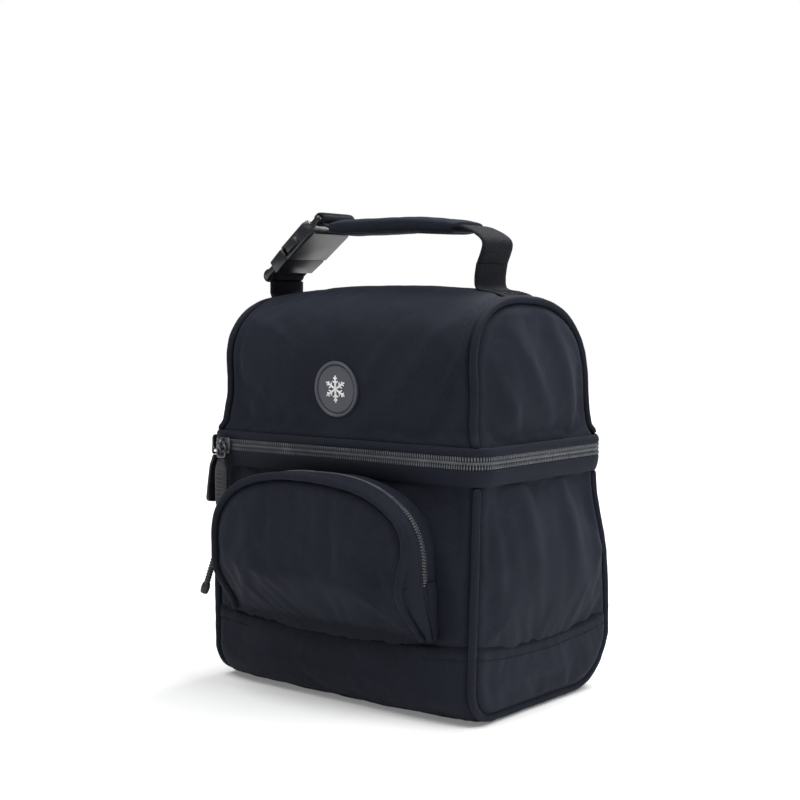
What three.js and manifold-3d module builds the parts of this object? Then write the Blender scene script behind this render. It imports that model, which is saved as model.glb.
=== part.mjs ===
// An insulated lunch cooler bag: a padded tub with an arched pocket, a domed zip lid and a carry handle.
// Millimetres, +Z up, +X to the right of the front, the front towards -Y, the base flat at z = 0.
import * as THREE from 'three';
import { mergeVertices } from 'three/addons/utils/BufferGeometryUtils.js';
import Module from 'manifold-3d';

const wasm = await Module();
wasm.setup();

// Whole bag
const bagWidth = 206;
const baseDepth = 128;
const frontAtZip = 66;
const backAtZip = 60;
const zipHeight = 147;
const crestHeight = 238;
const wallLift = 2;
const footRadius = 24;
const lowerBulge = 4;
const edgeRadius = 6;
const frontCrown = 2.5;
const crestCrown = 5;
const crownReach = 45;
const zipRun = 34;
const footNarrowing = 5.5;
const crestNarrowing = 12;
const crestHalf = bagWidth / 2 - crestNarrowing;

// Lid arch
const shoulderDepth = 62;
const shoulderShare = 49 / 91;
const shoulderHeight = zipHeight + (crestHeight - zipHeight) * shoulderShare;
const shoulderSoftShare = 24 / 91;
const lidRunShare = 34 / 91;
const crestBack = 12;
const crestRun = 34;
const backRiseShare = 38 / 91;

// Sewn layers
const fit = 0.3;
const cut = 0.6;
const overrun = 5;
const weldReach = 1e-4;
const rootReach = 0.1;
const fabric = 1.5;
const foam = 5;
const lining = 0.8;
const bandHeight = 46;
const bandFabric = 1;
const boardThick = 1.7;

// Main zip
const tapeThick = 1;
const tapeStand = 1.6;
const tapeWidth = 10;
const chainHalf = 3.7;
const coilPitch = 3.2;
const coilOut = 1.9;
const coilRoot = 1.2;
const coilIn = 0.9;
const toothReach = 0.9;
const toothGap = 0.5;
const hingeInset = 29;
const hingeHalf = bagWidth / 2 - hingeInset;
const hingeThick = 1;

// Piping
const cordRadius = 2;
const cordSides = 6;

// Front pocket
const archRadius = 83;
const archCentre = 52;
const pocketFloor = 46.5;
const pocketStand = 7.5;
const pocketBack = baseDepth / 2 + pocketStand;
const pocketDepth = 21;
const pocketFlare = 5;
const pocketFabric = 1.2;
const pocketCrown = 5;
const pocketZipStand = 16;
const pocketZip = baseDepth / 2 + pocketZipStand;
const pocketCoilHalf = 2.4;
const pocketZipStartAngle = 0.35;
const pocketCordRadius = 2.1;
const endTabTop = 77;
const endTabThick = 0.8;

// Zip sliders and their pulls
const sliderLength = 12;
const sliderHeight = 9;
const sliderPlate = 1.2;
const sliderLift = 2.3;
const archOuter = 3.9;
const archInner = 2.7;
const archPlay = 0.5;
const archThick = 2.4;
const archRound = 6;
const wireRadius = 0.8;
const ringWidth = 6.6;
const ringDrop = 7.6;
const pullWidth = 9;
const pullLength = 30;
const pullThick = 2.6;
const pullRib = 0.5;
const frontSliderInset = 14;
const frontSliderX = frontSliderInset - bagWidth / 2;
const sideSliderInset = 10;
const sideSliderY = sideSliderInset - frontAtZip;
const pocketSliderAngle = 2.68;
const pocketPullRadius = 2;
const pocketPullLength = 32;
const pocketLeanAngle = 0.44;
const pocketForwardShare = 0.35;
const pocketPullShares = [[0, 0], [1, 0], [1, 0.78], [1.45, 0.85], [1.45, 0.96], [0, 1]];
const pullSides = 10;
const pullRibs = 5;
const pullRibRows = 8;
const pullCornerShare = 0.33;
const pullRibShare = 0.25;

// Badge
const badgeRadius = 16.5;
const badgeThick = 2.2;
const badgeRim = 1.6;
const badgeStep = 0.7;
const badgeShift = 2.4;
const badgeRiseShare = 37 / 91;
const badgeHeight = zipHeight + (crestHeight - zipHeight) * badgeRiseShare;

// Handle
const webWidth = 30;
const webThick = 1.6;
const gripLeftInset = 43;
const gripLeft = gripLeftInset - crestHalf;
const gripRightInset = 40;
const gripRight = crestHalf - gripRightInset;
const gripRise = 43;
const gripHeight = crestHeight + gripRise;
const gripThick = 10;
const gripWidth = 31;
const gripEndShare = 0.78;
const squareShare = 0.65;
const gripRound = 12;
const gripTaperShare = 0.5;
const handleY = -5;
const flexRise = 19;
const flexTop = crestHeight + flexRise;
const riseInset = 22;
const riseX = crestHalf - riseInset;
const tabInset = 4;
const tabRoot = crestHalf - tabInset;
const tabLeftRun = 10;

// Side-release buckle
const buckleInset = 14;
const buckleX = buckleInset - crestHalf;
const buckleRise = 31;
const buckleZ = crestHeight + buckleRise;
const buckleTiltAngle = 0.663;
const buckleWidth = 38;
const buckleThick = 10;
const buckleHalf = 31;
const mouthAt = -6;
const socketDepth = 24;
const buckleWall = 1.8;
const barRadius = 2.1;
const slotLength = 5.5;
const tongueWidth = 7;
const prongWidth = 4.2;
const prongLength = 21;
const prongThick = 5.2;
const padLength = 11;
const padStart = 4;
const prongProud = 0.8;
const barInset = 0.7;
const slotStart = 20;
const rootShare = 0.7;

// How finely curves are cut, and how far each ring of a crowned surface rises
const outlineSteps = 4;
const roundSteps = 2;
const crownShares = [0.5, 0];
const rimSteps = 4;
const archSteps = 20;
const panelShares = [[1, 0], [0.88, 0.55], [0.6, 0.9], [0.25, 1]];
const bendSteps = 3;
const wireSteps = 2;
const badgeSides = 32;
const tabSteps = 4;
const flexSteps = 8;
const strapSteps = 9;
const prongSteps = 4;
const bevelSteps = 2;

const fabricFinish = { color: 0x1d1f27, roughness: 0.82, metalness: 0 };
const sideFinish = { color: 0x2a2c35, roughness: 0.8, metalness: 0 };
const webFinish = { color: 0x101115, roughness: 0.88, metalness: 0 };
const linerFinish = { color: 0xb9bdc2, roughness: 0.35, metalness: 0.4 };
const foamFinish = { color: 0xe4e4e0, roughness: 0.95, metalness: 0 };
const boardFinish = { color: 0x15161a, roughness: 0.8, metalness: 0 };
const coilFinish = { color: 0x17181c, roughness: 0.45, metalness: 0 };
const metalFinish = { color: 0x33353b, roughness: 0.35, metalness: 0.85 };
const rubberFinish = { color: 0x131418, roughness: 0.6, metalness: 0 };
const badgeFinish = { color: 0x45464f, roughness: 0.6, metalness: 0 };
const buckleFinish = { color: 0x17181d, roughness: 0.3, metalness: 0 };

const cooler = new THREE.Group();

// Turns a closed geometry into a solid.
function toSolid(geometry) {
  const bare = new THREE.BufferGeometry();
  bare.setAttribute('position', geometry.getAttribute('position').clone());
  if (geometry.index) {
    bare.setIndex(geometry.index.clone());
  }
  const welded = mergeVertices(bare, weldReach);
  return new wasm.Manifold(new wasm.Mesh({
    numProp: 3,
    vertProperties: new Float32Array(welded.getAttribute('position').array),
    triVerts: new Uint32Array(welded.index.array),
  }));
}

// Turns a solid back into a geometry.
function toGeometry(solid) {
  const mesh = solid.getMesh();
  const geometry = new THREE.BufferGeometry();
  geometry.setAttribute('position', new THREE.BufferAttribute(new Float32Array(mesh.vertProperties), 3));
  geometry.setIndex(new THREE.BufferAttribute(new Uint32Array(mesh.triVerts), 1));
  return geometry;
}

// Adds one named piece to the bag.
function addPiece(name, shape, finish) {
  const geometry = shape.isBufferGeometry ? shape : toGeometry(shape);
  geometry.computeVertexNormals();
  const mesh = new THREE.Mesh(geometry, new THREE.MeshStandardMaterial(finish));
  mesh.name = name;
  cooler.add(mesh);
}

// A box given by its low and high corners.
function boxBetween(low, high) {
  const size = new THREE.Vector3().subVectors(high, low);
  const geometry = new THREE.BoxGeometry(size.x, size.y, size.z);
  geometry.translate((low.x + high.x) / 2, (low.y + high.y) / 2, (low.z + high.z) / 2);
  return toSolid(geometry);
}

// The slab of space between two heights, wider than the bag.
function slab(low, high) {
  const reach = bagWidth + baseDepth;
  return boxBetween(new THREE.Vector3(-reach, -reach, low), new THREE.Vector3(reach, reach, high));
}

// Triangles over a flat ring of points, as triples of places in the ring.
function ringFaces(ring) {
  const middle = ring.reduce((sum, p) => sum.add(p), new THREE.Vector3()).divideScalar(ring.length);
  const normal = new THREE.Vector3();
  ring.forEach((p, i) => {
    const next = ring[(i + 1) % ring.length].clone().sub(middle);
    normal.add(p.clone().sub(middle).cross(next));
  });
  const turn = new THREE.Quaternion().setFromUnitVectors(normal.normalize(), new THREE.Vector3(0, 0, 1));
  const flat = ring.map((p) => p.clone().sub(middle).applyQuaternion(turn));
  return THREE.ShapeUtils.triangulateShape(flat.map((p) => new THREE.Vector2(p.x, p.y)), []);
}

// Joins rings of points into one closed surface, with flat faces over its two ends.
function skin(rings) {
  const count = rings[0].length;
  const positions = [];
  const indices = [];
  rings.forEach((ring) => ring.forEach((p) => positions.push(p.x, p.y, p.z)));
  for (let r = 0; r + 1 < rings.length; r += 1) {
    for (let i = 0; i < count; i += 1) {
      const a = r * count + i;
      const b = r * count + ((i + 1) % count);
      indices.push(a, b, b + count, a, b + count, a + count);
    }
  }
  const last = (rings.length - 1) * count;
  ringFaces(rings[0]).forEach(([a, b, c]) => indices.push(a, c, b));
  ringFaces(rings[rings.length - 1]).forEach(([a, b, c]) => indices.push(last + a, last + b, last + c));
  const geometry = new THREE.BufferGeometry();
  geometry.setAttribute('position', new THREE.Float32BufferAttribute(positions, 3));
  geometry.setIndex(indices);
  return volumeOf(geometry) < 0 ? flipped(geometry) : geometry;
}

// The signed volume inside a closed geometry.
function volumeOf(geometry) {
  const at = geometry.getAttribute('position');
  const index = geometry.index;
  const a = new THREE.Vector3();
  const b = new THREE.Vector3();
  const c = new THREE.Vector3();
  let total = 0;
  for (let i = 0; i < index.count; i += 3) {
    a.fromBufferAttribute(at, index.getX(i));
    b.fromBufferAttribute(at, index.getX(i + 1));
    c.fromBufferAttribute(at, index.getX(i + 2));
    total += a.dot(b.cross(c)) / 6;
  }
  return total;
}

// The same geometry with its faces turned over.
function flipped(geometry) {
  const turned = [];
  for (let i = 0; i < geometry.index.count; i += 3) {
    turned.push(geometry.index.getX(i), geometry.index.getX(i + 2), geometry.index.getX(i + 1));
  }
  geometry.setIndex(turned);
  return geometry;
}

// Side outline of the bag, as points (y, z) once round, starting on the base.
const sideOutline = (() => {
  const halfBase = baseDepth / 2;
  const front = -frontAtZip;
  const lidRise = crestHeight - zipHeight;
  const shape = new THREE.Path();
  shape.moveTo(-halfBase + footRadius, wallLift);
  shape.lineTo(halfBase - footRadius, wallLift);
  shape.quadraticCurveTo(halfBase, wallLift, halfBase + lowerBulge, wallLift + footRadius);
  shape.bezierCurveTo(halfBase + lowerBulge, zipHeight / 2, backAtZip, zipHeight - zipRun,
    backAtZip, zipHeight);
  shape.bezierCurveTo(backAtZip, zipHeight + lidRise * backRiseShare, backAtZip - crestRun, crestHeight,
    -crestBack, crestHeight);
  shape.bezierCurveTo(-shoulderDepth + footRadius, crestHeight, -shoulderDepth, crestHeight - crestBack,
    -shoulderDepth, shoulderHeight);
  shape.bezierCurveTo(-shoulderDepth, shoulderHeight - lidRise * shoulderSoftShare,
    front, zipHeight + lidRise * lidRunShare, front, zipHeight);
  shape.bezierCurveTo(front, zipHeight - zipRun, -halfBase - lowerBulge, zipHeight / 2,
    -halfBase - lowerBulge, wallLift + footRadius);
  shape.quadraticCurveTo(-halfBase, wallLift, -halfBase + footRadius, wallLift);
  const points = shape.getPoints(outlineSteps);
  return points.filter((p, i) => i === 0 || p.distanceTo(points[i - 1]) > fit)
    .filter((p, i, kept) => i + 1 < kept.length || p.distanceTo(kept[0]) > fit);
})();

// Outward normals of the side outline.
const sideNormals = sideOutline.map((p, i) => {
  const before = sideOutline[(i + sideOutline.length - 1) % sideOutline.length];
  const after = sideOutline[(i + 1) % sideOutline.length];
  const along = after.clone().sub(before).normalize();
  return new THREE.Vector2(along.y, -along.x);
});

// How freely the cloth swells at a height: not at the zip nor on the base, fully away from them.
function swell(z) {
  const pastTape = Math.max(0, Math.abs(z - zipHeight) - chainHalf - tapeWidth);
  const fromZip = Math.min(1, pastTape / crownReach);
  const fromBase = Math.min(1, Math.max(0, z - wallLift) / footRadius);
  return fromZip * fromZip * (3 - 2 * fromZip) * fromBase;
}

const tubTop = zipHeight - chainHalf - fit;
const lidBottom = zipHeight + chainHalf + fit;

// A place across the bag, moved in with the sides, which lean in above and below the zip.
function narrowed(x, z) {
  const up = (crestNarrowing * Math.max(0, z - lidBottom)) / (crestHeight - lidBottom);
  const down = (footNarrowing * Math.max(0, tubTop - z)) / tubTop;
  return x * (1 - (up + down) / (bagWidth / 2));
}

// The same solid with its sides leaning in.
function leaned(solid) {
  return solid.warp((p) => {
    p[0] = narrowed(p[0], p[2]);
  });
}

// One ring of the padded body at a place x, drawn in by inset and swelled by crown.
function bodyRing(x, inset, crown) {
  return sideOutline.map((p, i) => {
    const n = sideNormals[i];
    const rise = n.y > 0 ? frontCrown + (crestCrown - frontCrown) * n.y : frontCrown;
    const out = crown * rise * swell(p.y) - inset;
    return new THREE.Vector3(x, p.x + n.x * out, p.y + n.y * out);
  });
}

// The closed form of the padded body, drawn in by inset on every side.
function bodyForm(inset) {
  const half = [];
  const corner = bagWidth / 2 - edgeRadius - inset;
  for (let i = roundSteps; i >= 0; i -= 1) {
    const turn = (i / roundSteps) * Math.PI / 2;
    const drawn = inset + edgeRadius * (1 - Math.cos(turn));
    half.push(bodyRing(corner + edgeRadius * Math.sin(turn), drawn, 0));
  }
  crownShares.forEach((share) => half.push(bodyRing(corner * share, inset, 1 - share * share)));
  const other = half.slice(0, -1).reverse()
    .map((ring) => ring.map((p) => new THREE.Vector3(-p.x, p.y, p.z)));
  return toSolid(skin(half.concat(other)));
}

const outerForm = bodyForm(0);
const clothInner = bodyForm(fabric);
const foamOuter = bodyForm(fabric + fit);
const foamInner = bodyForm(fabric + fit + foam);
const linerOuter = bodyForm(fabric + foam + fit + fit);
const linerInner = bodyForm(fabric + foam + fit + fit + lining);

const lowerSpace = slab(-overrun, tubTop);
const upperSpace = slab(lidBottom, crestHeight + crestCrown + overrun);

// The part of space beyond a sewn side seam: -1 left, 1 right, 0 between the seams.
function seamSpace(side) {
  const seam = bagWidth / 2 - edgeRadius * (1 - Math.SQRT1_2);
  const reach = bagWidth;
  const low = side === 0 ? -seam + fit / 2 : seam + fit / 2;
  const high = side === 0 ? seam - fit / 2 : reach;
  const near = side < 0 ? -high : low;
  const far = side < 0 ? -low : high;
  return boxBetween(new THREE.Vector3(near, -reach, -overrun),
    new THREE.Vector3(far, reach, crestHeight + crestCrown + overrun));
}

// Path of a piping cord beside a sewn side seam, between two heights.
function pipingPath(side, low, high, inLid) {
  const settle = (edgeRadius + cordRadius + fit) * Math.SQRT1_2 - edgeRadius;
  const ring = bodyRing(side * (bagWidth / 2 + settle), -settle, 0);
  const inside = ring.filter((p) => p.z >= low && p.z <= high);
  const start = inLid ? 0 : inside.findIndex((p) => p.y < 0 && p.z > zipHeight / 2);
  const run = inLid ? inside : inside.slice(start).concat(inside.slice(0, start));
  const front = new THREE.Vector3(ring[0].x, -frontAtZip - settle, 0);
  const back = new THREE.Vector3(ring[0].x, backAtZip + settle, 0);
  if (inLid) {
    run.unshift(back.setZ(low));
    run.push(front.setZ(low));
  } else {
    run.unshift(front.setZ(high));
    run.push(back.setZ(high));
  }
  return run.filter((p, i) => i === 0 || p.distanceTo(run[i - 1]) > cordRadius);
}

// The same path moved in with the sides.
function leanedPath(points) {
  return points.map((p) => new THREE.Vector3(narrowed(p.x, p.z), p.y, p.z));
}

// A round cord of a radius along points, ending square.
function cordAlong(points, radius, sides) {
  const rings = points.map((p, i) => {
    const before = points[Math.max(0, i - 1)];
    const after = points[Math.min(points.length - 1, i + 1)];
    const along = after.clone().sub(before).normalize();
    const across = new THREE.Vector3(1, 0, 0);
    if (Math.abs(along.x) > Math.SQRT1_2) {
      across.set(0, 0, 1);
    }
    across.sub(along.clone().multiplyScalar(across.dot(along))).normalize();
    const third = new THREE.Vector3().crossVectors(along, across);
    return Array.from({ length: sides }, (_, k) => {
      const turn = (k / sides) * Math.PI * 2;
      return p.clone().addScaledVector(across, radius * Math.cos(turn))
        .addScaledVector(third, radius * Math.sin(turn));
    });
  });
  return skin(rings);
}

// Padded walls of the tub and the lid, cut from the same form at the zip.
const cloth = outerForm.subtract(clothInner);
const sides = [['left', -1], ['right', 1]];
const tubCloth = cloth.intersect(lowerSpace);
const lidCloth = cloth.intersect(upperSpace);
addPiece('tub_wrap', leaned(tubCloth.intersect(seamSpace(0))), fabricFinish);
addPiece('lid_wrap', leaned(lidCloth.intersect(seamSpace(0))), fabricFinish);
sides.forEach(([word, side]) => {
  addPiece(`tub_side_${word}`, leaned(tubCloth.intersect(seamSpace(side))), sideFinish);
  addPiece(`lid_side_${word}`, leaned(lidCloth.intersect(seamSpace(side))), sideFinish);
});
const padding = foamOuter.subtract(foamInner);
addPiece('tub_foam', leaned(padding.intersect(lowerSpace)), foamFinish);
addPiece('lid_foam', leaned(padding.intersect(upperSpace)), foamFinish);
const liner = linerOuter.subtract(linerInner);
addPiece('tub_liner', leaned(liner.intersect(lowerSpace)), linerFinish);
addPiece('lid_liner', leaned(liner.intersect(upperSpace)), linerFinish);

// Piping cords, and the base band that is sewn up against them.
const tapeLow = zipHeight - chainHalf - tapeWidth;
const tapeHigh = zipHeight + chainHalf + tapeWidth;
let bandForm = bodyForm(-fit - bandFabric).subtract(bodyForm(-fit));
sides.forEach(([word, side]) => {
  const lower = pipingPath(side, 0, tapeLow - fit, false);
  const upper = pipingPath(side, tapeHigh + cut, crestHeight + crestCrown, true);
  addPiece(`tub_piping_${word}`, cordAlong(leanedPath(lower), cordRadius, cordSides), fabricFinish);
  addPiece(`lid_piping_${word}`, cordAlong(leanedPath(upper), cordRadius, cordSides), fabricFinish);
  bandForm = bandForm.subtract(toSolid(cordAlong(lower, cordRadius + fit + fit, cordSides)));
});
const bandSpace = slab(boardThick + fit, bandHeight);
const band = bandForm.intersect(bandSpace);
addPiece('base_band', leaned(band.intersect(seamSpace(0))), fabricFinish);
addPiece('base_band_left', leaned(band.intersect(seamSpace(-1))), sideFinish);
addPiece('base_band_right', leaned(band.intersect(seamSpace(1))), sideFinish);
const boardX = bagWidth / 2 - footNarrowing - edgeRadius - edgeRadius;
const boardY = baseDepth / 2 - footRadius;
addPiece('base_board', boxBetween(new THREE.Vector3(-boardX, -boardY, 0),
  new THREE.Vector3(boardX, boardY, boardThick)), boardFinish);

// The line of the main zip round the bag, seen from above, from the back left to the back right.
const rimX = bagWidth / 2 + tapeStand;
const rimFront = -frontAtZip - tapeStand;
const rimBack = backAtZip + tapeStand;
const rimRadius = edgeRadius + tapeStand;
const rimPath = new THREE.Path();
rimPath.moveTo(-hingeHalf, rimBack);
rimPath.lineTo(-rimX + rimRadius, rimBack);
rimPath.absarc(-rimX + rimRadius, rimBack - rimRadius, rimRadius, Math.PI / 2, Math.PI, false);
rimPath.lineTo(-rimX, rimFront + rimRadius);
rimPath.absarc(-rimX + rimRadius, rimFront + rimRadius, rimRadius, Math.PI, Math.PI * 1.5, false);
rimPath.lineTo(rimX - rimRadius, rimFront);
rimPath.absarc(rimX - rimRadius, rimFront + rimRadius, rimRadius, -Math.PI / 2, 0, false);
rimPath.lineTo(rimX, rimBack - rimRadius);
rimPath.absarc(rimX - rimRadius, rimBack - rimRadius, rimRadius, 0, Math.PI / 2, false);
rimPath.lineTo(hingeHalf, rimBack);

// Points and outward directions along a flat path.
function followed(points) {
  return points.map((p, i) => {
    const before = points[Math.max(0, i - 1)];
    const after = points[Math.min(points.length - 1, i + 1)];
    const along = after.clone().sub(before).normalize();
    return { at: p, out: new THREE.Vector2(along.y, -along.x) };
  });
}

// A flat tape that stands on edge along the rim, between two heights.
function rimTape(inner, outer, low, high) {
  const corners = rimPath.getPoints(rimSteps);
  const bare = corners.filter((p, i) => i === 0 || p.distanceTo(corners[i - 1]) > fit);
  return skin(followed(bare).map(({ at, out }) => [[inner, low], [outer, low], [outer, high], [inner, high]]
    .map(([n, z]) => new THREE.Vector3(at.x + out.x * n, at.y + out.y * n, z))));
}
addPiece('tub_zip_tape', rimTape(-tapeThick / 2, tapeThick / 2, tapeLow, tubTop), fabricFinish);
addPiece('lid_zip_tape', rimTape(-tapeThick / 2, tapeThick / 2, lidBottom, tapeHigh), fabricFinish);

// Interlocking teeth: each half of the chain has a notched edge, half a pitch wide, that the other follows.
function coilRings(stations, place, side) {
  return stations.map((station, i) => {
    const crest = i % 2 === 0;
    const edge = (crest ? toothReach : -toothReach) + (side * toothGap) / 2;
    const raised = crest === (side < 0);
    const out = raised ? coilOut : coilRoot;
    return [[coilRoot, side * chainHalf], [out, edge], [-coilIn, edge]]
      .map(([n, across]) => place(station, n, across));
  });
}

const rimTeeth = 2 * Math.round(rimPath.getLength() / coilPitch);
const rimStations = followed(rimPath.getSpacedPoints(rimTeeth));
const placeOnRim = ({ at, out }, n, z) => (
  new THREE.Vector3(at.x + out.x * n, at.y + out.y * n, zipHeight + z));
addPiece('tub_zip_teeth', skin(coilRings(rimStations, placeOnRim, -1)), coilFinish);
addPiece('lid_zip_teeth', skin(coilRings(rimStations, placeOnRim, 1)), coilFinish);

// The cloth hinge between the two ends of the zip.
const hingeIn = rimBack - hingeThick / 2;
addPiece('hinge_strip', boxBetween(new THREE.Vector3(-hingeHalf + cut, hingeIn, tapeLow),
  new THREE.Vector3(hingeHalf - cut, hingeIn + hingeThick, tapeHigh)), fabricFinish);

// Front pocket: an arch cut off flat at the base seam, wider at the front than at the wall.
function archPoints(radius, floor) {
  const low = Math.asin((floor - archCentre) / radius);
  return Array.from({ length: archSteps + 1 }, (_, i) => {
    const turn = low + ((Math.PI - 2 * low) * i) / archSteps;
    return new THREE.Vector2(radius * Math.cos(turn), archCentre + radius * Math.sin(turn));
  });
}

// The arch's radius at a distance in front of the bag's middle.
function radiusAt(y) {
  return archRadius + (pocketFlare * (y - pocketBack)) / pocketDepth;
}

// One ring of the pocket's form, at a distance in front of the middle.
function pocketRing(y, inset) {
  return archPoints(radiusAt(y) - inset, pocketFloor + inset).map((p) => new THREE.Vector3(p.x, -y, p.y));
}

const pocketFront = pocketBack + pocketDepth;
const wallReach = pocketBack - overrun - overrun;
const outerTube = toSolid(skin([pocketRing(wallReach, 0), pocketRing(pocketFront, 0)]));
const innerTube = toSolid(skin([pocketRing(wallReach - overrun, pocketFabric),
  pocketRing(pocketFront + overrun, pocketFabric)]));
const gusset = outerTube.subtract(innerTube);
const bandSkin = bodyForm(-fit - bandFabric - fit).intersect(slab(-overrun, bandHeight + fit));
const tapeSpace = boxBetween(new THREE.Vector3(-bagWidth, rimFront - tapeThick / 2 - fit, tapeLow - fit),
  new THREE.Vector3(bagWidth, 0, zipHeight));
const againstBag = leaned(bodyForm(-fit).add(bandSkin)).add(tapeSpace);

// The slab of space between two distances in front of the middle.
function depthSlab(near, far, low, high) {
  return boxBetween(new THREE.Vector3(-bagWidth, -far, low), new THREE.Vector3(bagWidth, -near, high));
}
const zipEndHeight = archCentre + archRadius * Math.sin(pocketZipStartAngle);
const rearHalf = gusset.intersect(depthSlab(0, pocketZip - fit / 2, 0, crestHeight)).subtract(againstBag);
const rearCut = depthSlab(pocketZip - pocketCoilHalf - fit, pocketZip + overrun, zipEndHeight, crestHeight);
addPiece('pocket_gusset_rear', rearHalf.subtract(rearCut), sideFinish);
const frontHalf = gusset.intersect(depthSlab(pocketZip + fit / 2, pocketFront - fit, 0, crestHeight));
const frontCut = depthSlab(pocketZip - overrun, pocketZip + pocketCoilHalf + fit, zipEndHeight,
  crestHeight);
addPiece('pocket_gusset_front', frontHalf.subtract(frontCut), sideFinish);

// Teeth of the pocket zip, along the top of the arch.
const pocketSweep = Math.PI - 2 * pocketZipStartAngle - (2 * fit) / archRadius;
const pocketTeeth = 2 * Math.round((pocketSweep * archRadius) / coilPitch);
const pocketStations = Array.from({ length: pocketTeeth + 1 },
  (_, i) => pocketZipStartAngle + fit / archRadius + (pocketSweep * i) / pocketTeeth);
const placeOnArch = (turn, n, across) => {
  const y = pocketZip - across * (pocketCoilHalf / chainHalf);
  const radius = radiusAt(y) - pocketFabric / 2 + n;
  return new THREE.Vector3(radius * Math.cos(turn), -y, archCentre + radius * Math.sin(turn));
};
addPiece('pocket_zip_teeth_rear', skin(coilRings(pocketStations, placeOnArch, 1)), coilFinish);
addPiece('pocket_zip_teeth_front', skin(coilRings(pocketStations, placeOnArch, -1)), coilFinish);

// Pocket front panel: a crowned sheet that closes the arch.
const panelMiddle = (pocketFloor + archCentre + archRadius) / 2;
function panelForm(shift, reach) {
  const rim = pocketRing(pocketFront, 0);
  const rings = [rim.map((p) => new THREE.Vector3(p.x, p.y + reach, p.z))];
  panelShares.forEach(([share, rise]) => rings.push(rim.map((p) => new THREE.Vector3(p.x * share,
    p.y - shift - pocketCrown * rise, panelMiddle + (p.z - panelMiddle) * share))));
  return toSolid(skin(rings));
}
const panel = panelForm(pocketFabric, -fit).subtract(panelForm(0, overrun));
addPiece('pocket_panel', panel, fabricFinish);

// Piping cord round the pocket panel.
const pocketCordOut = pocketCordRadius + fit;
const cordTurnLow = Math.asin((pocketFloor - archCentre) / (archRadius + pocketFlare + pocketCordOut));
const cordPoints = Array.from({ length: archSteps + 1 }, (_, i) => {
  const turn = cordTurnLow + ((Math.PI - 2 * cordTurnLow) * i) / archSteps;
  const radius = archRadius + pocketFlare + pocketCordOut;
  return new THREE.Vector3(radius * Math.cos(turn), -pocketFront, archCentre + radius * Math.sin(turn));
});
addPiece('pocket_piping', cordAlong(cordPoints, pocketCordRadius, cordSides), fabricFinish);

// Cloth tabs over the two ends of the pocket zip.
const tabOuter = toSolid(skin([pocketRing(pocketBack, -fit - endTabThick),
  pocketRing(pocketFront, -fit - endTabThick)]));
const tabInner = toSolid(skin([pocketRing(pocketBack - overrun, -fit),
  pocketRing(pocketFront + overrun, -fit)]));
const tabBand = tabOuter.subtract(tabInner)
  .intersect(depthSlab(pocketZip + fit, pocketFront - 2 * pocketCordRadius, pocketFloor + fit,
    zipEndHeight));
sides.forEach(([word, side]) => {
  const half = side < 0 ? [-bagWidth, 0] : [0, bagWidth];
  addPiece(`pocket_end_tab_${word}`, tabBand.intersect(boxBetween(
    new THREE.Vector3(half[0], -bagWidth, 0), new THREE.Vector3(half[1], 0, endTabTop))), fabricFinish);
});

// A flat outline given a thickness along a chosen axis: points are (a, b), depth runs along the third.
function plate(points, depth) {
  const geometry = new THREE.ExtrudeGeometry(new THREE.Shape(points), { depth, bevelEnabled: false });
  geometry.translate(0, 0, -depth / 2);
  return geometry;
}

// A rounded rectangle's corner points, centred on the origin.
function roundedRectangle(width, height, radius, steps) {
  const points = [];
  [[1, 1], [-1, 1], [-1, -1], [1, -1]].forEach(([sx, sy], quarter) => {
    for (let i = 0; i <= steps; i += 1) {
      const turn = (quarter + i / steps) * (Math.PI / 2);
      points.push(new THREE.Vector2(sx * (width / 2 - radius) + radius * Math.cos(turn),
        sy * (height / 2 - radius) + radius * Math.sin(turn)));
    }
  });
  return points;
}

// Slider body in its own frame: x along the chain, y across it, z out from the bag, origin on the chain.
// The arch that holds the pull spans the chain, or follows it where archTurn is zero.
function sliderBody(chain, tapeFace, archTurn) {
  const waist = sliderHeight / 2 - sliderPlate;
  const halfLong = sliderLength / 2;
  const halfHigh = sliderHeight / 2;
  const lower = [
    new THREE.Vector2(-halfLong, -waist),
    new THREE.Vector2(-waist, -halfHigh),
    new THREE.Vector2(halfLong - sliderPlate, -halfHigh),
    new THREE.Vector2(halfLong, -waist),
  ];
  const upper = lower.map((p) => new THREE.Vector2(p.x, -p.y)).reverse();
  const outline = lower.concat(upper);
  const top = plate(outline, sliderPlate).translate(0, 0, sliderLift + sliderPlate / 2);
  const flangeTop = -chain - fit;
  const flange = boxBetween(new THREE.Vector3(-waist, flangeTop - sliderPlate, tapeFace + fit),
    new THREE.Vector3(halfLong - sliderPlate, flangeTop, sliderLift + sliderPlate / 2));
  const rib = boxBetween(new THREE.Vector3(-waist, flangeTop - sliderPlate, sliderLift),
    new THREE.Vector3(halfLong - sliderPlate, 0, sliderLift + sliderPlate / 2));
  const arch = new THREE.Shape();
  arch.absarc(0, 0, archOuter, 0, Math.PI, false);
  arch.absarc(0, 0, archInner, Math.PI, 0, true);
  const loop = new THREE.ExtrudeGeometry(arch,
    { depth: archThick, bevelEnabled: false, curveSegments: archRound });
  loop.translate(0, 0, -archThick / 2);
  loop.rotateX(Math.PI / 2);
  loop.rotateZ(archTurn);
  loop.translate(0, 0, sliderLift + sliderPlate - rootReach);
  return toSolid(top).add(flange).add(rib).add(toSolid(loop));
}

const hangOut = sliderLift + sliderPlate + archPlay + wireRadius;

// Wire ring of a pull in the slider's frame: its top bar runs inside the slider's arch.
function pullRing() {
  const wire = wireRadius + wireRadius;
  const outer = plate(roundedRectangle(ringWidth + wire, ringDrop + wire, wireRadius, wireSteps), wire);
  const inner = plate(roundedRectangle(ringWidth - wire, ringDrop - wire, fit, wireSteps), wire + overrun);
  return toSolid(outer).subtract(toSolid(inner)).translate([0, -ringDrop / 2, hangOut]);
}

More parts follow.
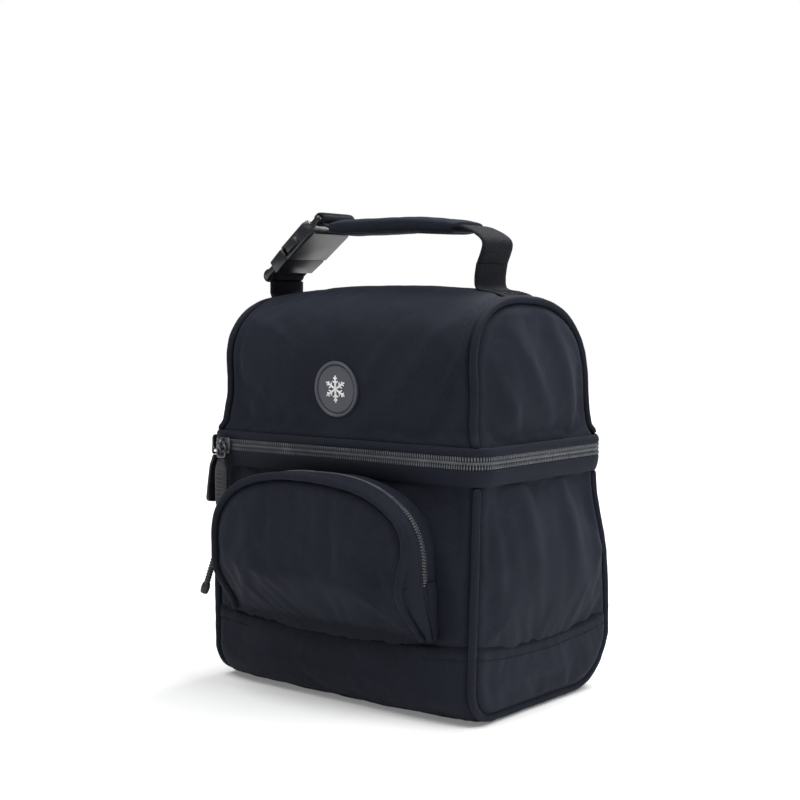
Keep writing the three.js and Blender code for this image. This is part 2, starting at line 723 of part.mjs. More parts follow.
// Moulded rubber pull with cross ribs, hanging from its ring along -y.
function pullGrip() {
  const start = -ringDrop - wireRadius - fit;
  const middle = start - pullLength / 2;
  const corner = pullWidth * pullCornerShare;
  const grip = plate(roundedRectangle(pullWidth, pullLength, corner, bendSteps), pullThick)
    .translate(0, middle, hangOut);
  let solid = toSolid(grip);
  const reach = pullWidth * pullRibShare;
  for (let i = 0; i < pullRibs; i += 1) {
    const at = middle - ((i - (pullRibs - 1) / 2) * pullLength) / pullRibRows;
    const low = new THREE.Vector3(-reach, at - pullRib, hangOut + pullThick / 2 - pullRib);
    const high = new THREE.Vector3(reach, at + pullRib, hangOut + pullThick / 2 + pullRib);
    solid = solid.add(boxBetween(low, high));
  }
  return solid;
}

// Puts a solid from a slider's frame onto the bag.
function placed(solid, matrix) {
  const geometry = toGeometry(solid);
  geometry.applyMatrix4(matrix);
  return geometry;
}

// Frame of a slider: where it is on the chain, the way along the chain, and the way out.
function sliderFrame(at, along, out) {
  const across = new THREE.Vector3().crossVectors(out, along);
  return new THREE.Matrix4().makeBasis(along, across, out).setPosition(at);
}

const right = new THREE.Vector3(1, 0, 0);
const frontOut = new THREE.Vector3(0, -1, 0);
const frontFrame = sliderFrame(new THREE.Vector3(frontSliderX, rimFront, zipHeight), right, frontOut);
const leftOut = new THREE.Vector3(-1, 0, 0);
const sideFrame = sliderFrame(new THREE.Vector3(-rimX, sideSliderY, zipHeight),
  new THREE.Vector3(0, -1, 0), leftOut);
[['front', frontFrame], ['side', sideFrame]].forEach(([word, frame]) => {
  addPiece(`${word}_slider`, placed(sliderBody(chainHalf, tapeThick / 2, Math.PI / 2), frame), metalFinish);
  addPiece(`${word}_pull_ring`, placed(pullRing(), frame), metalFinish);
  addPiece(`${word}_pull`, placed(pullGrip(), frame), rubberFinish);
});

// Pocket slider, on the sloping cloth of the arch, with its wire ring and a round moulded pull.
const flareTilt = Math.atan2(pocketFlare, pocketDepth);
const archOut = new THREE.Vector3(Math.cos(pocketSliderAngle), 0, Math.sin(pocketSliderAngle));
const pocketAlong = new THREE.Vector3(-Math.sin(pocketSliderAngle), 0, Math.cos(pocketSliderAngle));
const pocketOut = archOut.clone().multiplyScalar(Math.cos(flareTilt));
pocketOut.addScaledVector(frontOut, -Math.sin(flareTilt));
const pocketAt = archOut.clone().multiplyScalar(radiusAt(pocketZip) - pocketFabric / 2);
pocketAt.add(new THREE.Vector3(0, -pocketZip, archCentre));
const pocketFrame = sliderFrame(pocketAt, pocketAlong, pocketOut);
const pocketSlider = sliderBody(pocketCoilHalf + cut, pocketFabric / 2, 0);
addPiece('pocket_slider', placed(pocketSlider, pocketFrame), metalFinish);

const pocketAxis = new THREE.Vector3().crossVectors(pocketOut, pocketAlong);
const hangWay = new THREE.Vector3(-Math.sin(pocketLeanAngle), 0, -Math.cos(pocketLeanAngle));
hangWay.addScaledVector(pocketAxis, -hangWay.dot(pocketAxis)).normalize();

// A frame on the pull's pivot whose -y runs along a way, and whose z faces out.
function hangFrame(way, drop) {
  const side = new THREE.Vector3().crossVectors(way, pocketAxis).normalize();
  const axis = new THREE.Vector3().crossVectors(side, way);
  const at = pocketAt.clone().addScaledVector(pocketOut, hangOut).addScaledVector(hangWay, drop);
  return new THREE.Matrix4().makeBasis(axis, way.clone().negate(), side).setPosition(at);
}
const pullWay = hangWay.clone().addScaledVector(frontOut, pocketForwardShare).normalize();
const pullTop = -wireRadius - cut - fit;
const pocketProfile = pocketPullShares
  .map(([wide, far]) => new THREE.Vector2(wide * pocketPullRadius, pullTop - far * pocketPullLength));
const pocketPull = new THREE.LatheGeometry(pocketProfile.reverse(), pullSides);
const ringShift = new THREE.Matrix4().makeTranslation(0, 0, -hangOut);
addPiece('pocket_pull_ring', placed(pullRing(), hangFrame(hangWay, 0).multiply(ringShift)), metalFinish);
addPiece('pocket_pull', placed(toSolid(pocketPull), hangFrame(pullWay, ringDrop)), rubberFinish);

// Round moulded badge, its back cut to the lid's front.
const frontSide = sideOutline.filter((p) => p.x < 0).sort((a, b) => a.y - b.y);
function frontAt(z) {
  const above = frontSide.findIndex((p) => p.y > z);
  const low = frontSide[above - 1];
  const high = frontSide[above];
  const share = (z - low.y) / (high.y - low.y);
  return low.x + (high.x - low.x) * share - frontCrown * swell(z);
}
const badgeLean = Math.atan2(frontAt(badgeHeight + badgeRadius) - frontAt(badgeHeight - badgeRadius),
  2 * badgeRadius);
const badgeProfile = [
  new THREE.Vector2(0, -badgeThick),
  new THREE.Vector2(badgeRadius, -badgeThick),
  new THREE.Vector2(badgeRadius, badgeThick - badgeStep / 2),
  new THREE.Vector2(badgeRadius - badgeStep / 2, badgeThick),
  new THREE.Vector2(badgeRadius - badgeRim, badgeThick),
  new THREE.Vector2(badgeRadius - badgeRim, badgeThick - badgeStep),
  new THREE.Vector2(0, badgeThick - badgeStep),
];
const badge = new THREE.LatheGeometry(badgeProfile, badgeSides);
badge.rotateX(Math.PI - badgeLean);
badge.translate(-badgeShift, frontAt(badgeHeight), badgeHeight);
addPiece('badge', toSolid(badge).subtract(leaned(bodyForm(-fit))), badgeFinish);

// A flat strap of a thickness along points (x, z), as wide as the webbing.
function strap(points, width) {
  const near = [];
  const far = [];
  points.forEach((p, i) => {
    const before = points[Math.max(0, i - 1)];
    const after = points[Math.min(points.length - 1, i + 1)];
    const along = after.clone().sub(before).normalize().multiplyScalar(webThick / 2);
    near.push(new THREE.Vector2(p.x - along.y, p.y + along.x));
    far.push(new THREE.Vector2(p.x + along.y, p.y - along.x));
  });
  const shape = plate(near.concat(far.reverse()), width);
  shape.rotateX(Math.PI / 2);
  shape.translate(0, handleY, 0);
  return shape;
}

// Smooth points through a few chosen ones.
function smooth(points, steps) {
  return new THREE.SplineCurve(points).getPoints(steps);
}

// Height of the lid's crest at a place x.
function crestAt(x) {
  const share = x / (crestHalf - edgeRadius);
  return crestHeight + crestCrown * Math.max(0, 1 - share * share);
}

const onLid = fit + webThick / 2;
const flexFoot = riseX + webThick + overrun;
const tabPoints = smooth([new THREE.Vector2(tabRoot, crestAt(tabRoot) + onLid + fit),
  new THREE.Vector2((tabRoot + flexFoot) / 2, crestAt((tabRoot + flexFoot) / 2) + onLid + fit),
  new THREE.Vector2(flexFoot, crestAt(flexFoot) + onLid + fit)], tabSteps);
addPiece('webbing_tab_right', toSolid(strap(tabPoints, webWidth)), webFinish);
const flexPoints = smooth([new THREE.Vector2(flexFoot - fit, crestAt(flexFoot) + onLid + fit),
  new THREE.Vector2(riseX - webThick, crestAt(riseX) + onLid + webThick),
  new THREE.Vector2(riseX - overrun, (crestAt(riseX) + flexTop) / 2),
  new THREE.Vector2(riseX - webThick, flexTop)], flexSteps);
addPiece('webbing_flex_right', toSolid(strap(flexPoints, webWidth)), webFinish);

// Padded grip, hollow for the strap that runs through it.
function gripRing(x, share) {
  return Array.from({ length: gripRound }, (_, i) => {
    const turn = ((2 * i + 1) / gripRound) * Math.PI;
    const y = (gripWidth / 2) * Math.sign(Math.cos(turn)) * Math.abs(Math.cos(turn)) ** squareShare;
    const z = (gripThick / 2) * Math.sign(Math.sin(turn)) * Math.abs(Math.sin(turn)) ** squareShare;
    return new THREE.Vector3(x, handleY + y * (1 - gripTaperShare * (1 - share)), gripHeight + z * share);
  });
}
const gripEnd = gripThick / 2;
const gripForm = toSolid(skin([gripRing(gripLeft, gripEndShare), gripRing(gripLeft + gripEnd, 1),
  gripRing(gripRight - gripEnd, 1), gripRing(gripRight, gripEndShare)]));
const holeHalf = webWidth / 2 - fit;
const holeRise = webThick / 2 + fit;
const gripHole = boxBetween(
  new THREE.Vector3(gripLeft - overrun, handleY - holeHalf, gripHeight - holeRise),
  new THREE.Vector3(gripRight + overrun, handleY + holeHalf, gripHeight + holeRise));
addPiece('grip_sleeve', gripForm.subtract(gripHole), fabricFinish);

// Buckle frame: x runs from the plug to the socket, y across, z out of the top face.
const buckleMatrix = new THREE.Matrix4().makeRotationY(-buckleTiltAngle);
buckleMatrix.setPosition(buckleX, handleY, buckleZ);

// Ring of webbing round a buckle bar, and the point where its strap leaves.
const barHalf = (buckleHalf - barInset - slotLength - slotStart) / 2;
const barMiddle = slotStart + slotLength + barHalf;
function barLoop(side) {
  const reach = barHalf + fit + webThick;
  const rise = barRadius + fit + webThick;
  const outer = roundedRectangle(2 * reach, 2 * rise, rise - fit, bendSteps);
  const inner = roundedRectangle(2 * (barHalf + fit), 2 * (barRadius + fit), fit, wireSteps);
  const solid = toSolid(plate(outer, webWidth - cut)).subtract(toSolid(plate(inner, webWidth + overrun)));
  const geometry = toGeometry(solid);
  geometry.rotateX(Math.PI / 2);
  geometry.translate(side * barMiddle, 0, 0);
  return geometry;
}

// One strap: up from the lid's right, through the grip and round the socket's bar.
const barSeat = new THREE.Vector3(barMiddle, 0, -barRadius - fit - webThick / 2).applyMatrix4(buckleMatrix);
const strapPoints = smooth([new THREE.Vector2(riseX - webThick + fit, flexTop + fit),
  new THREE.Vector2(riseX + webThick / 2, (flexTop + gripHeight) / 2),
  new THREE.Vector2(riseX - webThick, gripHeight - gripThick / 2),
  new THREE.Vector2(gripRight + gripThick / 2, gripHeight - fit),
  new THREE.Vector2(gripRight, gripHeight)], strapSteps).concat(
  [new THREE.Vector2(gripLeft, gripHeight), new THREE.Vector2(barSeat.x, barSeat.z)]);
const loopUp = barLoop(1);
loopUp.applyMatrix4(buckleMatrix);
addPiece('handle_webbing', toSolid(strap(strapPoints, webWidth - cut)).add(toSolid(loopUp)), webFinish);

// Socket: a flat open box with side slots for the plug's pads, and a bar for the strap.
function moulded(points, depth, round) {
  const geometry = new THREE.ExtrudeGeometry(new THREE.Shape(points), {
    depth: depth - 2 * round,
    bevelThickness: round,
    bevelSize: round,
    bevelOffset: -round,
    bevelSegments: bevelSteps,
  });
  geometry.translate(0, 0, -depth / 2 + round);
  return toSolid(geometry);
}
function span(low, high, halfWidth, halfThick) {
  return boxBetween(new THREE.Vector3(low, -halfWidth, -halfThick),
    new THREE.Vector3(high, halfWidth, halfThick));
}
const half = buckleWidth / 2;
const socketEnd = mouthAt + socketDepth + buckleWall;
const barEnd = buckleHalf - barInset;
const frameHalf = webWidth / 2 + buckleWall;
const moulding = buckleWall / 2;
const socketOutline = [
  new THREE.Vector2(mouthAt, -half + moulding), new THREE.Vector2(socketEnd - buckleWall, -half),
  new THREE.Vector2(socketEnd + buckleWall, -frameHalf),
  new THREE.Vector2(socketEnd + buckleWall, frameHalf),
  new THREE.Vector2(socketEnd - buckleWall, half), new THREE.Vector2(mouthAt, half - moulding),
];
const frameOutline = roundedRectangle(barEnd - socketEnd + buckleWall, 2 * frameHalf, barRadius, bendSteps)
  .map((p) => p.add(new THREE.Vector2((barEnd + socketEnd - buckleWall) / 2, 0)));
const slot = span(slotStart, slotStart + slotLength, webWidth / 2 + fit, buckleThick);
const cavityHalf = buckleThick / 2 - buckleWall;
const padEnd = mouthAt + padStart + padLength;
const socket = moulded(socketOutline, buckleThick, moulding)
  .add(moulded(frameOutline, 2 * barRadius, moulding))
  .subtract(slot)
  .subtract(span(mouthAt - overrun, mouthAt + socketDepth, half - buckleWall, cavityHalf))
  .subtract(span(mouthAt - overrun, padEnd + fit, half + overrun, prongThick / 2 + fit));
addPiece('buckle_socket', placed(socket, buckleMatrix), buckleFinish);

// Plug: a shouldered body with its own strap bar, and a tongue that guides it into the socket.
const shoulder = mouthAt - fit;
const plugOutline = [
  new THREE.Vector2(-slotStart, -frameHalf), new THREE.Vector2(shoulder - buckleWall, -half + moulding),
  new THREE.Vector2(shoulder, -half + buckleWall), new THREE.Vector2(shoulder, half - buckleWall),
  new THREE.Vector2(shoulder - buckleWall, half - moulding), new THREE.Vector2(-slotStart, frameHalf),
];
const plugFrame = roundedRectangle(barEnd - slotStart + buckleWall, 2 * frameHalf, barRadius, bendSteps)
  .map((p) => p.add(new THREE.Vector2(-(barEnd + slotStart - buckleWall) / 2, 0)));
const plugSlot = span(-slotStart - slotLength, -slotStart, webWidth / 2 + fit, buckleThick);
const tongue = span(shoulder - buckleWall, mouthAt + socketDepth - buckleWall, tongueWidth / 2, buckleWall);
const plug = moulded(plugOutline, buckleThick - moulding, moulding)
  .add(moulded(plugFrame, 2 * barRadius, moulding))
  .subtract(plugSlot)
  .add(tongue);
addPiece('buckle_plug', placed(plug, buckleMatrix), buckleFinish);

// Spring prongs: each has a curved arm and a pad that shows at the side of the socket.
const prongIn = half - buckleWall - fit - prongWidth;
const prongEnd = mouthAt + prongLength;
function prong(side) {
  const root = new THREE.Vector2(mouthAt, prongIn);
  const outline = new THREE.Shape();
  outline.moveTo(root.x, root.y);
  outline.lineTo(root.x, root.y + prongWidth * rootShare);
  outline.quadraticCurveTo(mouthAt + padStart, prongIn + prongWidth, mouthAt + padStart, half + prongProud);
  outline.lineTo(padEnd - prongWidth, half + prongProud);
  outline.quadraticCurveTo(padEnd, half, padEnd, prongIn + prongWidth);
  outline.quadraticCurveTo(prongEnd, prongIn + prongWidth, prongEnd, root.y);
  const geometry = new THREE.ExtrudeGeometry(outline,
    { depth: prongThick, bevelEnabled: false, curveSegments: prongSteps });
  geometry.translate(0, 0, -prongThick / 2);
  if (side < 0) {
    geometry.rotateX(Math.PI);
  }
  return toSolid(geometry);
}
addPiece('buckle_prong_back', placed(prong(1), buckleMatrix), buckleFinish);
addPiece('buckle_prong_front', placed(prong(-1), buckleMatrix), buckleFinish);
const loopDown = barLoop(-1);
loopDown.applyMatrix4(buckleMatrix);
addPiece('plug_webbing_loop', loopDown, webFinish);

// Short tab of webbing from the lid's left seam up to the plug's loop.
const plugSeat = new THREE.Vector3(-barMiddle, 0, -barRadius - fit - webThick - cut)
  .applyMatrix4(buckleMatrix);
const tabFoot = tabRoot - tabLeftRun;
const tabLeft = smooth([new THREE.Vector2(-tabFoot, crestAt(tabFoot) + onLid + fit),
  new THREE.Vector2(-tabRoot, crestHeight + onLid + webThick),
  new THREE.Vector2(plugSeat.x - webThick / 2, plugSeat.z - webThick)], tabSteps);
addPiece('webbing_tab_left', toSolid(strap(tabLeft, webWidth)), webFinish);

export default cooler;
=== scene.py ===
"""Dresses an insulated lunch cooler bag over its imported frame: cloth, trim, zips, buckle, studio and camera."""
import logging
import math
import random
from collections.abc import Callable, Sequence
from dataclasses import dataclass, field
from enum import Enum

import bmesh
import bpy
import numpy as np
from mathutils import Matrix, Vector, noise
from mathutils.bvhtree import BVHTree
from mathutils.geometry import delaunay_2d_cdt


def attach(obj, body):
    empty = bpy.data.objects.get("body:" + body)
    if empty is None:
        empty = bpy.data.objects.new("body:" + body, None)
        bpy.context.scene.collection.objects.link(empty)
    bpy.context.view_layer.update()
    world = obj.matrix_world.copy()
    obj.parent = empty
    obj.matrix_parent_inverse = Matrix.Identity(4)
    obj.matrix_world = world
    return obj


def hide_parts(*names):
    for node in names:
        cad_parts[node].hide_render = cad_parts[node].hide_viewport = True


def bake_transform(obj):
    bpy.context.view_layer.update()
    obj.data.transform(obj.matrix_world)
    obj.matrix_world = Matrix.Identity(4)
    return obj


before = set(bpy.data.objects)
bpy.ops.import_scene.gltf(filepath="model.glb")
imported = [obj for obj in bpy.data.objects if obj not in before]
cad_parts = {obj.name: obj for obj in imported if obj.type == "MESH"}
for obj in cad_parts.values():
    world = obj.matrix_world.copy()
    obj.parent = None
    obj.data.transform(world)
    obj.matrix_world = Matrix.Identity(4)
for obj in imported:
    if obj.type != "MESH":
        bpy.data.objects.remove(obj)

log = logging.getLogger("cooler_bag")

MM = 0.001
TURN = 2 * math.pi
Point = tuple[float, float]
Colour = tuple[float, float, float]


class Body(str, Enum):
    """The moving bodies of the bag, by the names that the record gives them."""

    TUB = "tub"
    LID = "lid"
    HANDLE = "handle"
    PLUG = "plug"
    PRONG_BACK = "prong_back"
    PRONG_FRONT = "prong_front"
    FLAP = "pocket_flap"
    FRONT_SLIDER = "front_slider_body"
    FRONT_PULL = "front_pull_body"
    SIDE_SLIDER = "side_slider_body"
    SIDE_PULL = "side_pull_body"
    POCKET_SLIDER = "pocket_slider_body"
    POCKET_PULL = "pocket_pull_body"


class Slot(str, Enum):
    """The record's material slots."""

    SHELL = "shell_fabric"
    SIDE = "side_fabric"
    WEBBING = "webbing"
    LINER = "liner"
    BOARD = "base_board"
    COIL = "zip_coil"
    METAL = "slider_metal"
    RUBBER = "pull_rubber"
    BADGE = "badge_rubber"
    BUCKLE = "buckle_plastic"


# ---- Shader writing ----


class Value:
    """A number that varies over a surface; arithmetic on it adds Math nodes to its shader."""

    def __init__(self, shader: "Shader", socket: bpy.types.NodeSocket) -> None:
        """Wraps a socket of a shader."""
        self.shader = shader
        self.socket = socket

    def _math(self, operation: str, *terms: "Value | float") -> "Value":
        """Adds one Math node.

        Args:
            operation: The node's operation.
            terms: Its inputs in order, values or numbers.

        Returns:
            The node's result.
        """
        plugs = {i: term for i, term in enumerate(terms)}
        node = self.shader.node("ShaderNodeMath", {"operation": operation}, plugs)
        return Value(self.shader, node.outputs[0])

    def __add__(self, other: "Value | float") -> "Value":
        """This plus other."""
        return self._math("ADD", self, other)

    __radd__ = __add__

    def __sub__(self, other: "Value | float") -> "Value":
        """This less other."""
        return self._math("SUBTRACT", self, other)

    def __rsub__(self, other: float) -> "Value":
        """Other less this."""
        return self._math("SUBTRACT", other, self)

    def __mul__(self, other: "Value | float") -> "Value":
        """This times other."""
        return self._math("MULTIPLY", self, other)

    __rmul__ = __mul__

    def __truediv__(self, other: "Value | float") -> "Value":
        """This over other."""
        return self._math("DIVIDE", self, other)

    def __rtruediv__(self, other: float) -> "Value":
        """Other over this."""
        return self._math("DIVIDE", other, self)

    def __pow__(self, power: float) -> "Value":
        """This to a power."""
        return self._math("POWER", self, power)

    def __abs__(self) -> "Value":
        """This without its sign."""
        return self._math("ABSOLUTE", self)

    def __gt__(self, other: "Value | float") -> "Value":
        """One where this is more than other, else zero."""
        return self._math("GREATER_THAN", self, other)

    def sine(self) -> "Value":
        """The sine of this, in radians."""
        return self._math("SINE", self)

    def clamped(self) -> "Value":
        """This held between zero and one."""
        return self._math("MAXIMUM", self._math("MINIMUM", self, 1.0), 0.0)


class Shader:
    """Writes the nodes of one material."""

    def __init__(self, name: str) -> None:
        """Starts an empty material."""
        self.material = bpy.data.materials.new(name)
        self.material.use_nodes = True
        self.tree = self.material.node_tree
        self.tree.nodes.clear()

    def node(self, kind: str, settings: dict | None = None, plugs: dict | None = None) -> bpy.types.Node:
        """Adds a node.

        Args:
            kind: The node's type.
            settings: Properties to set first; "stops" holds a ramp's places and colours.
            plugs: Inputs by name or number: values, sockets or constants.

        Returns:
            The new node.
        """
        made = self.tree.nodes.new(kind)
        for key, setting in (settings or {}).items():
            if key == "stops":
                ramp = made.color_ramp
                for i, (place, colour) in enumerate(setting):
                    stop = ramp.elements[i] if i < 2 else ramp.elements.new(place)
                    stop.position = place
                    stop.color = (*colour, 1.0)
            else:
                setattr(made, key, setting)
        for key, plug in (plugs or {}).items():
            source = plug.socket if isinstance(plug, Value) else plug
            if isinstance(source, bpy.types.NodeSocket):
                self.tree.links.new(source, made.inputs[key])
            else:
                made.inputs[key].default_value = source
        return made

    def value(self, node: bpy.types.Node, output: int | str = 0) -> Value:
        """One output of a node as a value."""
        return Value(self, node.outputs[output])

    def place(self) -> bpy.types.NodeSocket:
        """The point on the piece, in metres, in the bag's own frame."""
        return self.node("ShaderNodeTexCoord").outputs["Object"]

    def lay(self) -> list[Value]:
        """Distances along and across a strap or cord, in metres; on cloth panels the third part is nearness to the
        panel's edge, which carries painted shade beside the seams.
        """
        carried = self.node("ShaderNodeAttribute", {"attribute_name": "lay"})
        parts = self.node("ShaderNodeSeparateXYZ", None, {0: carried.outputs["Vector"]})
        return [self.value(parts, i) for i in range(3)]

    def parts(self, vector: bpy.types.NodeSocket) -> list[Value]:
        """The three parts of a vector."""
        split = self.node("ShaderNodeSeparateXYZ", None, {0: vector})
        return [self.value(split, i) for i in range(3)]

    def noise(self, vector: bpy.types.NodeSocket, size: float, detail: float = 2.0) -> Value:
        """Soft noise.

        Args:
            vector: Where it is looked up.
            size: Width of its blotches in metres.
            detail: How many finer layers it has.

        Returns:
            A value about one half.
        """
        made = self.node("ShaderNodeTexNoise", None, {"Vector": vector, "Scale": 1 / size, "Detail": detail})
        return self.value(made)

    def mix(self, share: Value, first: Colour, second: Colour) -> bpy.types.NodeSocket:
        """A colour between two, by a share."""
        made = self.node("ShaderNodeMix", {"data_type": "RGBA"},
                         {0: share, 6: (*first, 1.0), 7: (*second, 1.0)})
        return made.outputs[2]

    def tint(self, share: Value, base: bpy.types.NodeSocket, second: Colour) -> bpy.types.NodeSocket:
        """A colour socket mixed towards a plain colour by a share."""
        made = self.node("ShaderNodeMix", {"data_type": "RGBA"}, {0: share, 6: base, 7: (*second, 1.0)})
        return made.outputs[2]

    def bump(self, height: Value, depth: float) -> bpy.types.NodeSocket:
        """A normal from a height between zero and one that stands for a depth in metres."""
        made = self.node("ShaderNodeBump", None, {"Height": height, "Distance": depth, "Strength": 1.0})
        return made.outputs[0]

    def finish(self, **plugs: object) -> bpy.types.Material:
        """Closes the material with a Principled shader.

        Args:
            plugs: Its inputs by name, with underscores for spaces.

        Returns:
            The material.
        """
        named = {key.replace("_", " "): plug for key, plug in plugs.items()}
        surface = self.node("ShaderNodeBsdfPrincipled", None, named)
        self.node("ShaderNodeOutputMaterial", None, {"Surface": surface.outputs[0]})
        return self.material


@dataclass(frozen=True)
class TwillFinish:
    """Tightly woven polyester twill with a soft sheen, uneven dye and a few specks of lint, and painted shade in its
    twill grooves and beside its seams.
    """

    name: str
    # thread and light are the ends of the colour mix: uneven dye and fine speckle, with painted shade in the twill's
    # grooves and painted highlight on its ridges.
    thread: Colour = (0.0082, 0.0092, 0.0148)
    light: Colour = (0.0152, 0.0172, 0.0262)
    twill: float = 1.5 * MM
    weave: float = 0.55 * MM
    depth: float = 0.09 * MM
    rough: float = 0.74
    ribbed: float = 0.35
    lint: float = 0.75

    def make(self) -> bpy.types.Material:
        """The finish as a material."""
        s = Shader(self.name)
        place = s.place()
        x, y, z = s.parts(place)
        diagonal = ((x + y + z) * (TURN / self.twill)).sine() * 0.5 + 0.5
        counter = ((x + y - z) * (TURN / self.weave)).sine() * 0.5 + 0.5
        fine = s.noise(place, 0.8 * MM, 3.0)
        cloud = s.noise(place, 38 * MM, 3.0)
        fold = s.noise(place, 9 * MM, 2.0)
        cells = s.node("ShaderNodeTexVoronoi", None, {"Vector": place, "Scale": 1 / (7 * MM)})
        speck = (1 - s.value(cells) / (0.028 * self.lint)).clamped()
        # The share mixes uneven dye and fine speckle with the twill's diagonal, which also makes its bump: painted
        # highlight on the ridges, painted shade in the grooves.
        share = (cloud * 0.9 + diagonal * self.ribbed * 0.5 + fine * 2.3 - 1.3).clamped()
        colour = s.tint(speck * 0.8, s.mix(share, self.thread, self.light), (0.12, 0.12, 0.13))
        # Painted shade beside the seams: nearness to a panel's edge, the lay's third part, darkens the colour towards
        # near-black there.
        colour = s.tint(s.lay()[2] * 0.62, colour, (0.001, 0.001, 0.0014))
        height = diagonal * self.ribbed + counter * 0.25 + fine * 0.3 + fold * 0.6
        return s.finish(Base_Color=colour, Roughness=(self.rough + (fine - 0.5) * 0.14),
                        Normal=s.bump(height, self.depth), Specular_IOR_Level=0.1,
                        Sheen_Weight=0.03, Sheen_Roughness=0.5, Sheen_Tint=(0.55, 0.68, 1.0, 1.0))


@dataclass(frozen=True)
class WebbingFinish:
    """Coarse basket weave of narrow webbing, with ribbed edges, whose colour carries painted shade in the weave's
    hollows and painted highlight on its raised threads.
    """

    name: str
    # thread is the colour of the weave's hollows, as painted shade, and light that of its raised threads, as painted
    # highlight.
    thread: Colour = (0.0022, 0.0024, 0.0036)
    light: Colour = (0.0125, 0.0138, 0.0195)
    pick: float = 2.1 * MM
    end: float = 1.7 * MM
    depth: float = 0.45 * MM

    def make(self) -> bpy.types.Material:
        """The finish as a material."""
        s = Shader(self.name)
        along, across, _ = s.lay()
        first = (along * (TURN / self.pick)).sine()
        second = (across * (TURN / self.end)).sine()
        woven = (first * second) * 0.5 + 0.5
        ribs = abs((across * (TURN / 2 / self.end)).sine())
        fray = s.noise(s.place(), 0.5 * MM, 2.0)
        height = woven * 0.7 + ribs * 0.3 + fray * 0.25
        # Painted shade and highlight: the colour follows the weave's height, dark in its hollows and light on its
        # raised threads.
        colour = s.mix((height ** 2.0).clamped(), self.thread, self.light)
        return s.finish(Base_Color=colour, Roughness=0.72 + (fray - 0.5) * 0.2,
                        Normal=s.bump(height, self.depth), Specular_IOR_Level=0.15)


@dataclass(frozen=True)
class MouldedFinish:
    """Moulded plastic or rubber: an even skin with faint flow marks and handling wear."""

    name: str
    colour: Colour = (0.008, 0.0085, 0.011)
    worn: Colour = (0.02, 0.021, 0.025)
    rough: float = 0.35
    grain: float = 0.25 * MM
    depth: float = 0.02 * MM
    coat: float = 0.0

    def make(self) -> bpy.types.Material:
        """The finish as a material."""
        s = Shader(self.name)
        place = s.place()
        grain = s.noise(place, self.grain, 2.0)
        cloud = s.noise(place, 14 * MM, 3.0)
        colour = s.mix((cloud * 1.6 - 0.5).clamped() * 0.7 + grain * 0.2, self.colour, self.worn)
        rough = self.rough + (cloud - 0.5) * 0.18 + (grain - 0.5) * 0.1
        return s.finish(Base_Color=colour, Roughness=rough.clamped(), Normal=s.bump(grain, self.depth),
                        Specular_IOR_Level=0.5, Coat_Weight=self.coat, Coat_Roughness=0.25)


@dataclass(frozen=True)
class PlatedFinish:
    """Dark plated metal, brushed by wear."""

    name: str
    colour: Colour = (0.07, 0.072, 0.082)
    bright: Colour = (0.24, 0.245, 0.26)
    rough: float = 0.36

    def make(self) -> bpy.types.Material:
        """The finish as a material."""
        s = Shader(self.name)
        place = s.place()
        wear = s.noise(place, 2.2 * MM, 4.0)
        grain = s.noise(place, 0.2 * MM, 1.0)
        colour = s.mix((wear * 2.2 - 0.9).clamped(), self.colour, self.bright)
        return s.finish(Base_Color=colour, Metallic=0.85, Roughness=(self.rough + (wear - 0.5) * 0.3).clamped(),
                        Normal=s.bump(grain * 0.6 + wear * 0.4, 0.02 * MM))


@dataclass(frozen=True)
class FoilFinish:
    """Silver-grey wipe-clean film over foam, softly crinkled, with painted shade in the crinkles' hollows."""

    name: str
    colour: Colour = (0.42, 0.43, 0.45)
    # The darker colour is painted shade for the crinkles' hollows.
    painted_hollow_shade: Colour = (0.3, 0.31, 0.33)

    def make(self) -> bpy.types.Material:
        """The finish as a material."""
        s = Shader(self.name)
        place = s.place()
        crinkle = s.noise(place, 7 * MM, 4.0)
        fine = s.noise(place, 1.2 * MM, 2.0)
        # Painted shade: the colour darkens where the crinkle bump is low, in its hollows.
        colour = s.mix((crinkle * 1.4 - 0.2).clamped(), self.painted_hollow_shade, self.colour)
        return s.finish(Base_Color=colour, Roughness=0.34 + (fine - 0.5) * 0.2,
                        Normal=s.bump(crinkle * 0.8 + fine * 0.2, 0.7 * MM), Metallic=0.0, Coat_Weight=0.2)


# ---- Meshes ----


def mesh_object(name: str, points: Sequence[Vector], faces: Sequence[Sequence[int]],
                lay: Sequence[Vector] | None = None, smooth: bool = True) -> bpy.types.Object:
    """Makes a mesh object in the scene.

    Args:
        name: Its name.
        points: Its vertices in metres.
        faces: Its faces as places in the list of points.
        lay: Distances along and across for each vertex, for woven finishes; on cloth panels a third part, nearness to
            the seam, for painted seam shade.
        smooth: Whether it is shaded smooth.

    Returns:
        The object.
    """
    mesh = bpy.data.meshes.new(name)
    mesh.from_pydata([tuple(p) for p in points], [], [tuple(f) for f in faces])
    mesh.update()
    if lay is not None:
        carried = mesh.attributes.new("lay", "FLOAT_VECTOR", "POINT")
        carried.data.foreach_set("vector", np.array([tuple(v) for v in lay], np.float32).ravel())
    made = bpy.data.objects.new(name, mesh)
    bpy.context.scene.collection.objects.link(made)
    if smooth:
        mesh.shade_smooth()
    return made


